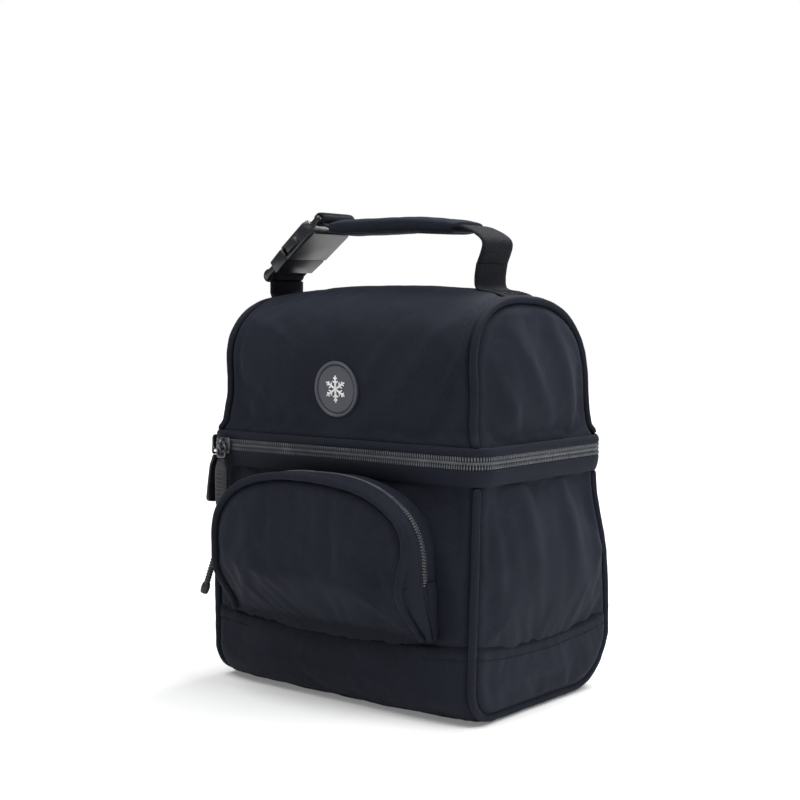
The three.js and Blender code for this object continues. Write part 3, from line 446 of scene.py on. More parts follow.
def loft(name: str, rings: Sequence[Sequence[Vector]], closed: bool = True, caps: bool = True,
         lay: Sequence[Vector] | None = None) -> bpy.types.Object:
    """Joins rings of points into a surface.

    Args:
        name: The object's name.
        rings: Rings with the same number of points.
        closed: Whether each ring is a closed loop.
        caps: Whether the two end rings are filled.
        lay: Distances along and across for each vertex.

    Returns:
        The object.
    """
    count = len(rings[0])
    points = [p for ring in rings for p in ring]
    faces: list[tuple[int, ...]] = []
    for r in range(len(rings) - 1):
        for i in range(count if closed else count - 1):
            j = (i + 1) % count
            faces.append((r * count + i, r * count + j, (r + 1) * count + j, (r + 1) * count + i))
    if caps:
        last = (len(rings) - 1) * count
        faces.append(tuple(reversed(range(count))))
        faces.append(tuple(range(last, last + count)))
    made = mesh_object(name, points, faces, lay)
    outward(made)
    return made


def outward(piece: bpy.types.Object) -> None:
    """Turns the faces of a closed mesh outwards."""
    work = bmesh.new()
    work.from_mesh(piece.data)
    bmesh.ops.recalc_face_normals(work, faces=work.faces)
    work.to_mesh(piece.data)
    work.free()


def frames_along(path: Sequence[Vector], side: Vector) -> list[tuple[Vector, Vector, Vector]]:
    """Frames that turn smoothly along a path.

    Args:
        path: Its points.
        side: A direction to start from, roughly across the path.

    Returns:
        For each point its tangent, side and third direction.
    """
    frames = []
    last = side.copy()
    for i, p in enumerate(path):
        ahead = path[min(i + 1, len(path) - 1)] - path[max(i - 1, 0)]
        along = ahead.normalized()
        last = (last - along * last.dot(along)).normalized()
        frames.append((along, last.copy(), along.cross(last)))
    return frames


def tube(name: str, path: Sequence[Vector], radius: float, sides: int = 10, side: Vector | None = None,
         wobble: float = 0.0, seed: int = 0) -> bpy.types.Object:
    """A round tube along a path, with closed and slightly rounded ends.

    Args:
        name: The object's name.
        path: Points of its centre line.
        radius: Its radius.
        sides: Faces round it.
        side: A direction to start its frames from.
        wobble: Share of the radius by which its surface wanders.
        seed: Shifts the wandering.

    Returns:
        The object.
    """
    frames = frames_along(path, side or Vector((0.31, 0.83, 0.46)))
    rings, lay, run = [], [], 0.0
    for i, (p, (along, across, third)) in enumerate(zip(path, frames)):
        if i:
            run += (p - path[i - 1]).length
        near_end = min(i, len(path) - 1 - i)
        shrink = 0.7 if near_end == 0 else 1.0
        ring = []
        for k in range(sides):
            turn = TURN * k / sides
            way = across * math.cos(turn) + third * math.sin(turn)
            stray = noise.noise(Vector((run * 160, turn, seed * 3.7))) * wobble
            ring.append(p + way * radius * shrink * (1 + stray))
            lay.append(Vector((run, turn * radius, 0)))
        rings.append(ring)
    return loft(name, rings, lay=lay)


def resampled(path: Sequence[Vector], step: float) -> list[Vector]:
    """Points at an even spacing along a path."""
    lengths = [0.0]
    for a, b in zip(path, path[1:]):
        lengths.append(lengths[-1] + (b - a).length)
    count = max(2, round(lengths[-1] / step))
    out, j = [], 0
    for i in range(count + 1):
        want = lengths[-1] * i / count
        while j < len(path) - 2 and lengths[j + 1] < want:
            j += 1
        span = max(1e-9, lengths[j + 1] - lengths[j])
        out.append(path[j].lerp(path[j + 1], min(1.0, (want - lengths[j]) / span)))
    return out


def spline(points: Sequence[Vector], steps: int) -> list[Vector]:
    """A smooth curve through points, with a number of steps in each span."""
    out = []
    for i in range(len(points) - 1):
        a, b, c, d = (points[max(0, min(len(points) - 1, i + k))] for k in (-1, 0, 1, 2))
        for k in range(steps):
            t = k / steps
            out.append(0.5 * ((2 * b) + (c - a) * t + (2 * a - 5 * b + 4 * c - d) * t * t
                              + (3 * b - a - 3 * c + d) * t ** 3))
    out.append(points[-1].copy())
    return out


def eased(t: float) -> float:
    """A smooth step from zero to one."""
    t = max(0.0, min(1.0, t))
    return t * t * (3 - 2 * t)


def dressed(piece: bpy.types.Object, body: Body, slot: Slot, material: bpy.types.Material,
            *nodes: str) -> bpy.types.Object:
    """Gives a piece its body and finish, and hides the CAD nodes that it stands for.

    Args:
        piece: The object.
        body: The body that it rides on.
        slot: The record's slot of its finish; not used.
        material: Its finish.
        nodes: CAD nodes that it replaces.

    Returns:
        The same object.
    """
    piece.data.materials.clear()
    piece.data.materials.append(material)
    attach(piece, body.value)
    if nodes:
        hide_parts(*nodes)
    log.info("%s rides on %s", piece.name, body.value)
    return piece


def modifier(piece: bpy.types.Object, kind: str, **settings: object) -> None:
    """Adds a modifier to a piece with its settings."""
    made = piece.modifiers.new(kind.title(), kind)
    for key, setting in settings.items():
        setattr(made, key, setting)


def applied(piece: bpy.types.Object) -> bpy.types.Object:
    """Applies all modifiers of a piece to its mesh."""
    shape = piece.evaluated_get(bpy.context.evaluated_depsgraph_get())
    mesh = bpy.data.meshes.new_from_object(shape)
    piece.modifiers.clear()
    piece.data = mesh
    return piece


# ---- The bag's form ----


@dataclass
class BagForm:
    """The padded form that all cloth follows: a side outline, swept across the bag with soft corners."""

    width: float = 206 * MM
    base_depth: float = 128 * MM
    front_at_zip: float = 66 * MM
    back_at_zip: float = 60 * MM
    zip_height: float = 147 * MM
    crest: float = 238 * MM
    wall_lift: float = 1.8 * MM
    foot_radius: float = 29 * MM
    back_bulge: float = 9.5 * MM
    front_foot: float = 18 * MM
    lid_draw: float = 2.8 * MM
    tub_draw: float = 2.6 * MM
    rim_corner: float = 13 * MM
    bulge: float = 4 * MM
    edge: float = 9 * MM
    front_crown: float = 2.5 * MM
    crest_crown: float = 5 * MM
    crown_reach: float = 45 * MM
    zip_run: float = 34 * MM
    foot_narrowing: float = 3.5 * MM
    crest_narrowing: float = 9.5 * MM
    narrowing_bend: float = 0.6
    shoulder_turn: float = 22 * MM
    crest_run: float = 34 * MM
    shoulder_depth: float = 62 * MM
    shoulder_height: float = 196 * MM
    crest_back: float = 12 * MM
    chain_half: float = 3.7 * MM
    tape_width: float = 10 * MM
    tape_stand: float = 1.6 * MM
    fit: float = 0.3 * MM
    steps: int = 26
    points: list[Point] = field(init=False)
    normals: list[Point] = field(init=False)
    runs: list[float] = field(init=False)

    def __post_init__(self) -> None:
        """Works out the side outline, from the base's front round by the back."""
        half, foot, toe, front = self.base_depth / 2, self.foot_radius, self.front_foot, -self.front_at_zip
        rise, zip_z, lift = self.crest - self.zip_height, self.zip_height, self.wall_lift
        low, high = self.shoulder_height, self.crest
        spans = [
            ((-half + toe, lift), (half - foot, lift)),
            ((half - foot, lift), (half, lift), (half + self.back_bulge, lift + foot)),
            ((half + self.back_bulge, lift + foot), (half + self.back_bulge, zip_z / 2 + 8 * MM),
             (self.back_at_zip, zip_z - self.zip_run), (self.back_at_zip, zip_z)),
            ((self.back_at_zip, zip_z), (self.back_at_zip, zip_z + rise * 0.72),
             (self.back_at_zip - 0.42 * self.crest_run, high), (-self.crest_back, high)),
            ((-self.crest_back, high), (-self.shoulder_depth + self.shoulder_turn, high),
             (-self.shoulder_depth, high - self.crest_back), (-self.shoulder_depth, low)),
            ((-self.shoulder_depth, low), (-self.shoulder_depth, low - foot),
             (front, zip_z + self.zip_run), (front, zip_z)),
            ((front, zip_z), (front, zip_z - self.zip_run), (-half - self.bulge, zip_z / 2),
             (-half - self.bulge, lift + toe)),
            ((-half - self.bulge, lift + toe), (-half, lift), (-half + toe, lift)),
        ]
        found: list[Point] = []
        for span in spans:
            steps = 8 if len(span) == 2 else self.steps
            found.extend(self.bezier(span, k / steps) for k in range(steps))
        found = [(y - math.copysign(min(self.drawn(z), abs(y)), y), z) for y, z in found]
        self.points = found
        count = len(found)
        self.normals = []
        for i in range(count):
            (ay, az), (by, bz) = found[i - 1], found[(i + 1) % count]
            size = math.hypot(by - ay, bz - az)
            self.normals.append(((bz - az) / size, -(by - ay) / size))
        self.runs = [0.0]
        for i in range(count):
            (ay, az), (by, bz) = found[i], found[(i + 1) % count]
            self.runs.append(self.runs[-1] + math.hypot(by - ay, bz - az))

    @staticmethod
    def bezier(span: Sequence[Point], t: float) -> Point:
        """A point on a straight, quadratic or cubic span."""
        work = [Vector(p) for p in span]
        while len(work) > 1:
            work = [a.lerp(b, t) for a, b in zip(work, work[1:])]
        return (work[0].x, work[0].y)

    def drawn(self, z: float) -> float:
        """How far the cloth is drawn in at a height, above and below the zip's band."""
        past = abs(z - self.zip_height) - self.chain_half - 2 * MM
        depth = self.lid_draw if z > self.zip_height else self.tub_draw
        return depth * eased(past / (9 * MM)) * eased((62 * MM - past) / (48 * MM))

    def leaned(self, x: float, z: float) -> float:
        """A place across the bag, moved in with the sides, which lean in above and below the zip."""
        gap = self.chain_half + self.fit
        share = max(0.0, z - self.zip_height - gap) / (self.crest - self.zip_height - gap)
        up = self.crest_narrowing * share ** self.narrowing_bend
        down = self.foot_narrowing * max(0.0, self.zip_height - gap - z) / (self.zip_height - gap)
        return x * (1 - (up + down + self.drawn(z)) / (self.width / 2))

    def swell(self, z: float) -> float:
        """How freely cloth swells at a height: nil at the zip and on the base."""
        past = max(0.0, abs(z - self.zip_height) - self.chain_half - self.tape_width)
        base = min(1.0, max(0.0, z - self.wall_lift) / self.foot_radius)
        return eased(past / self.crown_reach) * base

    def at(self, run: float) -> tuple[float, float, float, float]:
        """The outline at a distance along it.

        Args:
            run: Distance from the front of the base.

        Returns:
            Its y and z, and the y and z of its normal.
        """
        total = self.runs[-1]
        run %= total
        i = min(len(self.points) - 1, int(np.searchsorted(self.runs, run, side="right")) - 1)
        share = (run - self.runs[i]) / max(1e-9, self.runs[i + 1] - self.runs[i])
        j = (i + 1) % len(self.points)
        (ay, az), (by, bz) = self.points[i], self.points[j]
        (py, pz), (qy, qz) = self.normals[i], self.normals[j]
        return (ay + (by - ay) * share, az + (bz - az) * share,
                py + (qy - py) * share, pz + (qz - pz) * share)

    def run_at(self, z: float, front: bool) -> float:
        """Distance along the outline at which it passes a height, at the front or at the back."""
        best, found = 1e9, 0.0
        for i, (y, height) in enumerate(self.points):
            if (y < 0) == front and abs(height - z) < best:
                best, found = abs(height - z), self.runs[i]
        low, high = found - 6 * MM, found + 6 * MM
        for _ in range(24):
            middle = (low + high) / 2
            above = self.at(middle)[1] > z
            if above == front:
                low = middle
            else:
                high = middle
        return (low + high) / 2

    def depth_at(self, z: float, front: bool) -> float:
        """The outline's y at a height."""
        return self.at(self.run_at(z, front))[0]

    def skin(self, x: float, run: float, out: float = 0.0) -> Vector:
        """A point on the wrap.

        Args:
            x: Place across the bag.
            run: Distance along the side outline.
            out: How far it stands out from the form.

        Returns:
            The point.
        """
        y, z, ny, nz = self.at(run)
        flat = self.width / 2 - self.edge
        over = max(0.0, abs(x) - flat)
        turn = math.asin(min(1.0, over / self.edge))
        drawn = self.edge * (1 - math.cos(turn))
        share = min(1.0, abs(x) / flat)
        rise = self.front_crown + (self.crest_crown - self.front_crown) * max(0.0, nz)
        lift = (1 - share * share) * rise * self.swell(z) - drawn
        push = out * math.cos(turn)
        across, height = x + math.copysign(out * math.sin(turn), x), z + nz * (lift + push)
        return Vector((self.leaned(across, height), y + ny * (lift + push), height))

    def seam(self) -> float:
        """Place across the bag at which wrap and side panel are sewn together."""
        return self.width / 2 - self.edge * (1 - math.sqrt(0.5))

    def inset(self, by: float, step: float) -> list[Point]:
        """The side outline drawn in by a distance, at an even spacing."""
        count = round(self.runs[-1] / step)
        found = []
        for i in range(count):
            y, z, ny, nz = self.at(self.runs[-1] * i / count)
            found.append((y - ny * by, z - nz * by))
        return found

    def clipped(self, by: float, low: float, high: float, step: float) -> list[Point]:
        """The part of the drawn-in side outline between two heights, as a closed polygon."""
        ring = self.inset(by, step)
        found: list[Point] = []
        for i, (y, z) in enumerate(ring):
            py, pz = ring[i - 1]
            for level in (low, high):
                if (pz - level) * (z - level) < 0:
                    share = (level - pz) / (z - pz)
                    found.append((py + (y - py) * share, level))
            if low <= z <= high:
                found.append((y, z))
        return found


# ---- Sewn cloth ----


def distances(points: np.ndarray, ring: np.ndarray) -> np.ndarray:
    """Distance from each point to a closed polygon's edges."""
    a, b = ring, np.roll(ring, -1, axis=0)
    span = b - a
    size = np.maximum((span ** 2).sum(1), 1e-18)
    rel = points[:, None, :] - a[None]
    share = np.clip((rel * span[None]).sum(2) / size, 0, 1)
    gap = rel - share[..., None] * span[None]
    return np.sqrt((gap ** 2).sum(2)).min(1)


def inside(points: np.ndarray, ring: np.ndarray) -> np.ndarray:
    """Whether each point is inside a closed polygon."""
    a, b = ring, np.roll(ring, -1, axis=0)
    px, py = points[:, 0, None], points[:, 1, None]
    crosses = (a[None, :, 1] > py) != (b[None, :, 1] > py)
    height = np.where(b[:, 1] == a[:, 1], 1e-18, b[:, 1] - a[:, 1])
    hit = px < (b[:, 0] - a[:, 0])[None] * (py - a[None, :, 1]) / height[None] + a[None, :, 0]
    return (crosses & hit).sum(1) % 2 == 1


def spaced_ring(ring: Sequence[Point], step: float) -> list[Point]:
    """A closed polygon with points at an even spacing, keeping its corners."""
    found = []
    for (ax, ay), (bx, by) in zip(ring, [*ring[1:], ring[0]]):
        pieces = max(1, round(math.hypot(bx - ax, by - ay) / step))
        found.extend((ax + (bx - ax) * k / pieces, ay + (by - ay) * k / pieces) for k in range(pieces))
    return found


@dataclass(frozen=True)
class Crease:
    """A soft fold pressed into cloth along a line."""

    start: tuple[float, float, float]
    end: tuple[float, float, float]
    height: float = 1.1
    width: float = 5.0

    def rise(self, points: np.ndarray) -> np.ndarray:
        """How far the cloth stands out at each point: a ridge with a hollow on either side."""
        a, b = np.array(self.start) * MM, np.array(self.end) * MM
        span = b - a
        share = (points - a) @ span / (span @ span)
        gap = np.linalg.norm(points - a - np.clip(share, 0, 1)[:, None] * span, axis=1) / (self.width * MM)
        fade = np.sin(np.pi * np.clip(share * 0.9 + 0.05, 0, 1)) ** 0.7
        return self.height * MM * fade * np.exp(-gap ** 2) * (1 - 0.9 * gap ** 2)


@dataclass
class SewnPanel:
    """A cloth panel cut to an outline, held along its seams and filled out by the cloth solver."""

    name: str
    ring: Sequence[Point]
    place: Callable[[float, float], Vector]
    core: Vector
    spacing: float = 3.6 * MM
    slack: float = 0.012
    pressure: float = 1.5
    cap: float = 3.5 * MM
    thick: float = 1.2 * MM
    still: Callable[[Vector], float] | None = None
    wrinkle: float = 0.5 * MM
    seed: int = 0
    creases: Sequence["Crease"] = ()
    piece: bpy.types.Object = field(init=False)
    rest: np.ndarray = field(init=False)
    held: np.ndarray = field(init=False)
    seam: np.ndarray = field(init=False)
    seam_width: float = 2.6 * MM
    seam_sink: float = 0.8 * MM

    def cut(self) -> bpy.types.Object:
        """Cuts the panel and lays it on the form."""
        edge = np.array(spaced_ring(self.ring, self.spacing))
        low, high = edge.min(0), edge.max(0)
        rows = []
        count = int((high[1] - low[1]) / (self.spacing * 0.866)) + 1
        for r in range(count + 1):
            start = low[0] + (self.spacing / 2 if r % 2 else 0)
            row = np.arange(start, high[0], self.spacing)
            rows.append(np.stack([row, np.full_like(row, low[1] + r * self.spacing * 0.866)], 1))
        grid = np.concatenate(rows)
        grid = grid[inside(grid, edge)]
        grid = grid[distances(grid, edge) > self.spacing * 0.55]
        spots = [Vector(p) for p in np.concatenate([edge, grid])]
        count = len(edge)
        loop = [(i, (i + 1) % count) for i in range(count)]
        made = delaunay_2d_cdt(spots, loop, [], 1, 1e-7)
        flat = np.array([tuple(v) for v in made[0]])
        points = [self.place(*p) for p in flat]
        faces = [tuple(f) for f in made[2]]
        if faces:
            total = 0.0
            for f in faces[:: max(1, len(faces) // 60)]:
                a, b, c = (points[k] for k in f[:3])
                total += (b - a).cross(c - a).dot((a + b + c) / 3 - self.core)
            if total < 0:
                faces = [tuple(reversed(f)) for f in faces]
        gap = distances(flat, edge)
        # Nearness to the panel's edge: it sinks the cloth into its seam and, as the lay's third part, darkens the
        # twill there as painted seam shade.
        self.seam = np.exp(-(gap / self.seam_width) ** 2)
        self.piece = mesh_object(self.name, points, faces, [Vector((u, v, near)) for (u, v), near in
                                                            zip(flat, self.seam)])
        self.held = np.clip(gap / (self.spacing * 2.2), 0, 1)
        group = self.piece.vertex_groups.new(name="seam")
        group.add([int(i) for i in np.nonzero(gap < self.spacing * 0.3)[0]], 1.0, "REPLACE")
        self.rest = np.array([tuple(p) for p in points])
        return self.piece

    def relax(self) -> None:
        """Gives the panel to the cloth solver."""
        made = self.piece.modifiers.new("Cloth", "CLOTH")
        cloth = made.settings
        cloth.quality = 6
        cloth.mass = 0.25
        cloth.tension_stiffness = 20
        cloth.compression_stiffness = 12
        cloth.shear_stiffness = 8
        cloth.bending_stiffness = 0.25
        cloth.vertex_group_mass = "seam"
        cloth.shrink_min = -self.slack
        cloth.shrink_max = -self.slack
        cloth.use_pressure = True
        cloth.uniform_pressure_force = self.pressure
        cloth.effector_weights.gravity = 0
        made.collision_settings.use_collision = False

    def settle(self) -> None:
        """Takes the solver's result, caps how far it moved, and gives the cloth its thickness."""
        count = len(self.piece.data.vertices)
        moved = np.empty(count * 3, np.float32)
        if self.piece.modifiers:
            shape = self.piece.evaluated_get(bpy.context.evaluated_depsgraph_get())
            shape.data.vertices.foreach_get("co", moved)
            moved = moved.reshape(-1, 3).astype(float)
            self.piece.modifiers.clear()
        else:
            moved = self.rest.copy()
        normals = np.empty(count * 3, np.float32)
        self.piece.data.vertices.foreach_get("normal", normals)
        normals = normals.reshape(-1, 3)
        step = moved - self.rest
        size = np.maximum(np.linalg.norm(step, axis=1), 1e-9)
        step *= (self.cap * np.tanh(size / self.cap) / size)[:, None]
        stray = np.array([noise.noise(Vector(p) * 55 + Vector((self.seed * 5.1, 0, 0))) for p in self.rest])
        fold = np.array([noise.noise(Vector((p[0] * 120, p[1] * 120, p[2] * 26 + self.seed))) for p in self.rest])
        step += normals * ((stray * 0.8 + fold * 0.6) * self.wrinkle)[:, None]
        for crease in self.creases:
            step += normals * crease.rise(self.rest)[:, None]
        free = self.held * (np.array([self.still(Vector(p)) for p in self.rest]) if self.still else 1.0)
        final = self.rest + step * free[:, None] - normals * (self.seam * self.seam_sink)[:, None]
        self.piece.data.vertices.foreach_set("co", final.astype(np.float32).ravel())
        self.piece.data.update()
        self.piece.vertex_groups.clear()
        modifier(self.piece, "SUBSURF", levels=1, render_levels=1)
        modifier(self.piece, "SOLIDIFY", thickness=self.thick, offset=-1.0, use_even_offset=False)
        applied(self.piece)
        self.piece.data.shade_smooth()


class SewingRoom:
    """Cuts all cloth panels and runs the cloth solver on them together."""

    frames: int = 20

    def __init__(self) -> None:
        """Starts with no panels."""
        self.panels: list[SewnPanel] = []

    def add(self, panel: SewnPanel) -> SewnPanel:
        """Cuts a panel and keeps it for the solver."""
        panel.cut()
        self.panels.append(panel)
        return panel

    def run(self) -> None:
        """Lets all panels fill out, then fixes their shapes."""
        scene = bpy.context.scene
        for panel in self.panels:
            panel.relax()
        for number in range(1, self.frames + 1):
            scene.frame_set(number)
        for panel in self.panels:
            panel.settle()
            log.info("%s has %d faces", panel.name, len(panel.piece.data.polygons))
        scene.frame_set(1)


@dataclass
class Stitcher:
    """Lays runs of short stitches on cloth."""

    length: float = 2.5 * MM
    gap: float = 1.0 * MM
    radius: float = 0.32 * MM
    sides: int = 5

    def run(self, name: str, path: Sequence[Vector], targets: Sequence[bpy.types.Object]) -> bpy.types.Object:
        """Sews one run of stitches.

        Args:
            name: The object's name.
            path: Points near the cloth that the run follows.
            targets: The cloth that it lies on.

        Returns:
            The stitches as one object.
        """
        trees = [self.tree(t) for t in targets]
        even = resampled(path, 0.5 * MM)
        stride = round((self.length + self.gap) / (0.5 * MM))
        half = round(self.length / (0.5 * MM))
        points, faces = [], []
        for start in range(0, len(even) - half, stride):
            row = []
            for k in range(5):
                p = even[start + round(half * k / 4)]
                hits = [t.find_nearest(p) for t in trees]
                hit = min(hits, key=lambda h: h[3] if h[0] is not None else 1e9)
                row.append((hit[0], hit[1]))
            along = (row[-1][0] - row[0][0]).normalized()
            base = len(points)
            for k, (p, n) in enumerate(row):
                across = n.cross(along).normalized()
                sunk = (0.55 if k in (0, 4) else 1.0)
                width = self.radius * (0.55 if k in (0, 4) else 1.0)
                for j in range(self.sides):
                    turn = TURN * j / self.sides
                    points.append(p + n * (self.radius * 0.5 * sunk) + across * width * math.cos(turn)
                                  + n * width * math.sin(turn))
            for k in range(4):
                for j in range(self.sides):
                    m = (j + 1) % self.sides
                    faces.append((base + k * self.sides + j, base + k * self.sides + m,
                                  base + (k + 1) * self.sides + m, base + (k + 1) * self.sides + j))
            faces.append(tuple(base + j for j in reversed(range(self.sides))))
            faces.append(tuple(base + 4 * self.sides + j for j in range(self.sides)))
        made = mesh_object(name, points, faces)
        outward(made)
        return made

    @staticmethod
    def tree(piece: bpy.types.Object) -> BVHTree:
        """A search tree over a piece's faces."""
        mesh = piece.data
        return BVHTree.FromPolygons([v.co.copy() for v in mesh.vertices], [tuple(p.vertices) for p in mesh.polygons])


# ---- The padded shell ----


@dataclass
class Shell:
    """The tub and the lid: wraps, side panels, base band, lining and base board."""

    form: BagForm
    room: SewingRoom
    cloth: bpy.types.Material
    side_cloth: bpy.types.Material
    foil: bpy.types.Material
    board: bpy.types.Material
    thread: bpy.types.Material
    band_top: float = 46 * MM
    band_out: float = 1.3 * MM
    band_sag: float = 4.5 * MM
    band_rest: float = 0.45 * MM
    foot_push: float = 3.4 * MM
    wall: float = 8 * MM
    cloth_thick: float = 1.4 * MM
    badge_x: float = -2.4 * MM
    badge_z: float = 184 * MM
    badge_reach: float = 24 * MM
    lid_folds: Sequence[Crease] = (
        Crease((-86, -50, 232), (-46, -61, 196), 1.6, 5), Crease((-70, -58, 226), (-30, -62, 204), 1.4, 5),
        Crease((52, -58, 226), (8, -62, 176), 1.8, 6), Crease((78, -56, 228), (40, -63, 178), 1.9, 6),
        Crease((88, -60, 208), (64, -63, 166), 1.6, 5), Crease((-88, -61, 186), (-60, -63, 164), 1.4, 5),
        Crease((-20, -30, 240), (-6, -58, 222), 1.3, 7), Crease((60, -10, 238), (30, -56, 224), 1.6, 7),
        Crease((-60, 30, 226), (-20, 58, 180), 1.9, 7), Crease((60, 34, 224), (10, 60, 174), 1.9, 7))
    front_folds: Sequence[Crease] = (
        Crease((92, -67, 136), (90, -68, 60), 1.4, 4), Crease((82, -67, 134), (60, -67, 126), 1.3, 4),
        Crease((88, -67, 60), (84, -68, 100), 1.3, 5), Crease((-95, -67, 130), (-92, -68, 80), 1.3, 4))
    lid_side_folds: Sequence[Crease] = (
        Crease((98, -50, 206), (101, -22, 160), 1.9, 7), Crease((97, -30, 222), (101, 8, 164), 2.1, 8),
        Crease((96, 8, 226), (101, 36, 166), 1.9, 8), Crease((98, 44, 200), (101, 50, 162), 1.6, 6))
    tub_side_folds: Sequence[Crease] = (
        Crease((102, -50, 134), (99, -46, 56), 2.2, 6), Crease((102, -26, 136), (99, -8, 60), 2.1, 9),
        Crease((102, 14, 134), (99, 34, 64), 2.4, 10), Crease((102, 52, 136), (99, 56, 56), 2.2, 7),
        Crease((102, -58, 130), (100, -30, 108), 1.4, 5))
    panels: dict[str, SewnPanel] = field(default_factory=dict)

    def near_badge(self, p: Vector) -> float:
        """How free the cloth is: it lies still under the badge."""
        if p.y > 0:
            return 1.0
        gap = math.hypot(p.x - self.badge_x, p.z - self.badge_z)
        return 0.12 + 0.88 * eased((gap - 14 * MM) / self.badge_reach)

    def hung(self, p: Vector) -> Vector:
        """A point of the base band, hanging lower between the corners and full at the front's foot."""
        across = min(1.0, abs(p.x) / (97 * MM)) ** 2
        along = min(1.0, abs(p.y) / (64 * MM)) ** 2
        drop = self.band_sag * max(0.0, 2 - across - along) * eased(p.z / self.band_top)
        full = self.foot_push * (1 - across * across) * math.sin(math.pi * min(1.0, max(0.0, p.z / (28 * MM))))
        full *= eased(-p.y / (60 * MM))
        rest = self.band_rest * eased((14 * MM - p.z) / (12 * MM))
        return Vector((p.x, p.y - full * 0.85, p.z - drop - full * 0.5 - rest))

    def wrap(self, name: str, start: float, end: float, out: float, seed: int, **more: object) -> None:
        """Cuts one wrap panel between two places along the side outline."""
        seam = self.form.seam()
        ring = [(-seam, start), (seam, start), (seam, end), (-seam, end)]
        core = Vector((0, 0, 0.14)) if out == 0 else Vector((0, 0, 0.05))

        def place(x: float, run: float) -> Vector:
            """A point of the panel on the form."""
            spot = self.form.skin(x, run, out)
            return self.hung(spot) if out else spot

        self.panels[name] = self.room.add(SewnPanel(name, ring, place, core, seed=seed, **more))

    def side(self, name: str, sign: int, low: float, high: float, out: float, dome: float, seed: int,
             **more: object) -> None:
        """Cuts one side panel between two heights."""
        form = self.form
        drawn = form.edge * (1 - math.sqrt(0.5))
        outline = np.array(form.inset(0, 4 * MM))
        ring = form.clipped(drawn, low, high, 4 * MM)
        edges = np.array(ring)

        def place(y: float, z: float) -> Vector:
            """A point of the panel on the form."""
            spot = np.array([[y, z]])
            gap = float(distances(spot, outline)[0])
            turn = math.acos(max(0.0, 1 - gap / form.edge)) if gap < form.edge else math.pi / 2
            rise = dome * eased(float(distances(spot, edges)[0]) / (30 * MM))
            x = form.width / 2 - form.edge + form.edge * math.sin(turn)
            spot = Vector((sign * (form.leaned(x, z) + rise + out), y, z))
            return self.hung(spot) if out else spot

        self.panels[name] = self.room.add(SewnPanel(name, ring, place, Vector((0, 0, 0.12)), seed=seed, **more))

    def cut(self) -> None:
        """Cuts every panel of the shell."""
        form = self.form
        total = form.runs[-1]
        tape_low = form.zip_height - form.chain_half - 1 * MM
        tape_high = form.zip_height + form.chain_half + 1 * MM
        self.wrap("lid_top_cloth", form.run_at(tape_high, False), form.run_at(tape_high, True), 0, 3,
                  still=self.near_badge, cap=3.0 * MM, slack=0.016, creases=self.lid_folds)
        self.wrap("tub_back_cloth", form.run_at(self.band_top - 11 * MM, False), form.run_at(tape_low, False), 0, 5)
        self.wrap("tub_front_cloth", form.run_at(tape_low, True), form.run_at(self.band_top - 11 * MM, True), 0, 7,
                  cap=2.5 * MM, creases=self.front_folds)
        self.wrap("base_band_cloth", form.run_at(self.band_top, True) - total,
                  form.run_at(self.band_top, False), self.band_out, 11, cap=1.8 * MM, slack=0.006, pressure=0.8)
        for word, sign in (("left", -1), ("right", 1)):
            lid_folds, tub_folds = ([Crease((sign * c.start[0], *c.start[1:]), (sign * c.end[0], *c.end[1:]), c.height,
                                            c.width) for c in folds] for folds in (self.lid_side_folds,
                                                                                   self.tub_side_folds))
            self.side(f"lid_{word}_cloth", sign, tape_high, 1.0, 0, 3.5 * MM, 13 + sign, cap=4 * MM, slack=0.02,
                      creases=lid_folds)
            self.side(f"tub_{word}_cloth", sign, self.band_top - 11 * MM, tape_low, 0, 2.5 * MM, 17 + sign,
                      cap=4 * MM, slack=0.02, creases=tub_folds)
            self.side(f"base_{word}_cloth", sign, -1.0, self.band_top, self.band_out, 1.0 * MM, 23 + sign,
                      cap=2 * MM, slack=0.008, pressure=0.8)

    def dress(self) -> None:
        """Gives each finished panel its body and cloth."""
        wraps = {"lid_top_cloth": (Body.LID, ["lid_wrap"]), "tub_back_cloth": (Body.TUB, ["tub_wrap"]),
                 "tub_front_cloth": (Body.TUB, ["tub_wrap"]), "base_band_cloth": (Body.TUB, ["base_band"])}
        for name, (body, nodes) in wraps.items():
            dressed(self.panels[name].piece, body, Slot.SHELL, self.cloth, *nodes)
        for word in ("left", "right"):
            for start, body, node in (("lid", Body.LID, f"lid_side_{word}"), ("tub", Body.TUB, f"tub_side_{word}"),
                                      ("base", Body.TUB, f"base_band_{word}")):
                piece = self.panels[f"{start}_{word}_cloth"].piece
                dressed(piece, body, Slot.SIDE, self.side_cloth, node)
        for name in ("base_band_cloth", "base_left_cloth", "base_right_cloth"):
            for vertex in self.panels[name].piece.data.vertices:
                vertex.co.z = max(vertex.co.z, 0.0)
        self.line()
        self.stitch()

    def level_ring(self, z: float, by: float, count: int = 96) -> list[Vector]:
        """A level ring round the form, drawn in by a distance, with soft corners."""
        front, back = self.form.depth_at(z, True) + by, self.form.depth_at(z, False) - by
        half = self.form.leaned(self.form.width / 2, z) - by
        corner = min(self.form.rim_corner - self.form.tape_stand - by, (back - front) * 0.45)
        path = []
        for sx, cy, start in ((1, back, 0), (-1, back, 1), (-1, front, 2), (1, front, 3)):
            oy = cy - corner if cy == back else cy + corner
            for k in range(9):
                turn = (start + k / 8) * math.pi / 2
                path.append(Vector((sx * (half - corner) + corner * math.cos(turn), oy + corner * math.sin(turn), z)))
        return resampled([*path, path[0]], 1e-9 + sum((b - a).length for a, b in zip(path, [*path[1:], path[0]]))
                         / count)[:count]

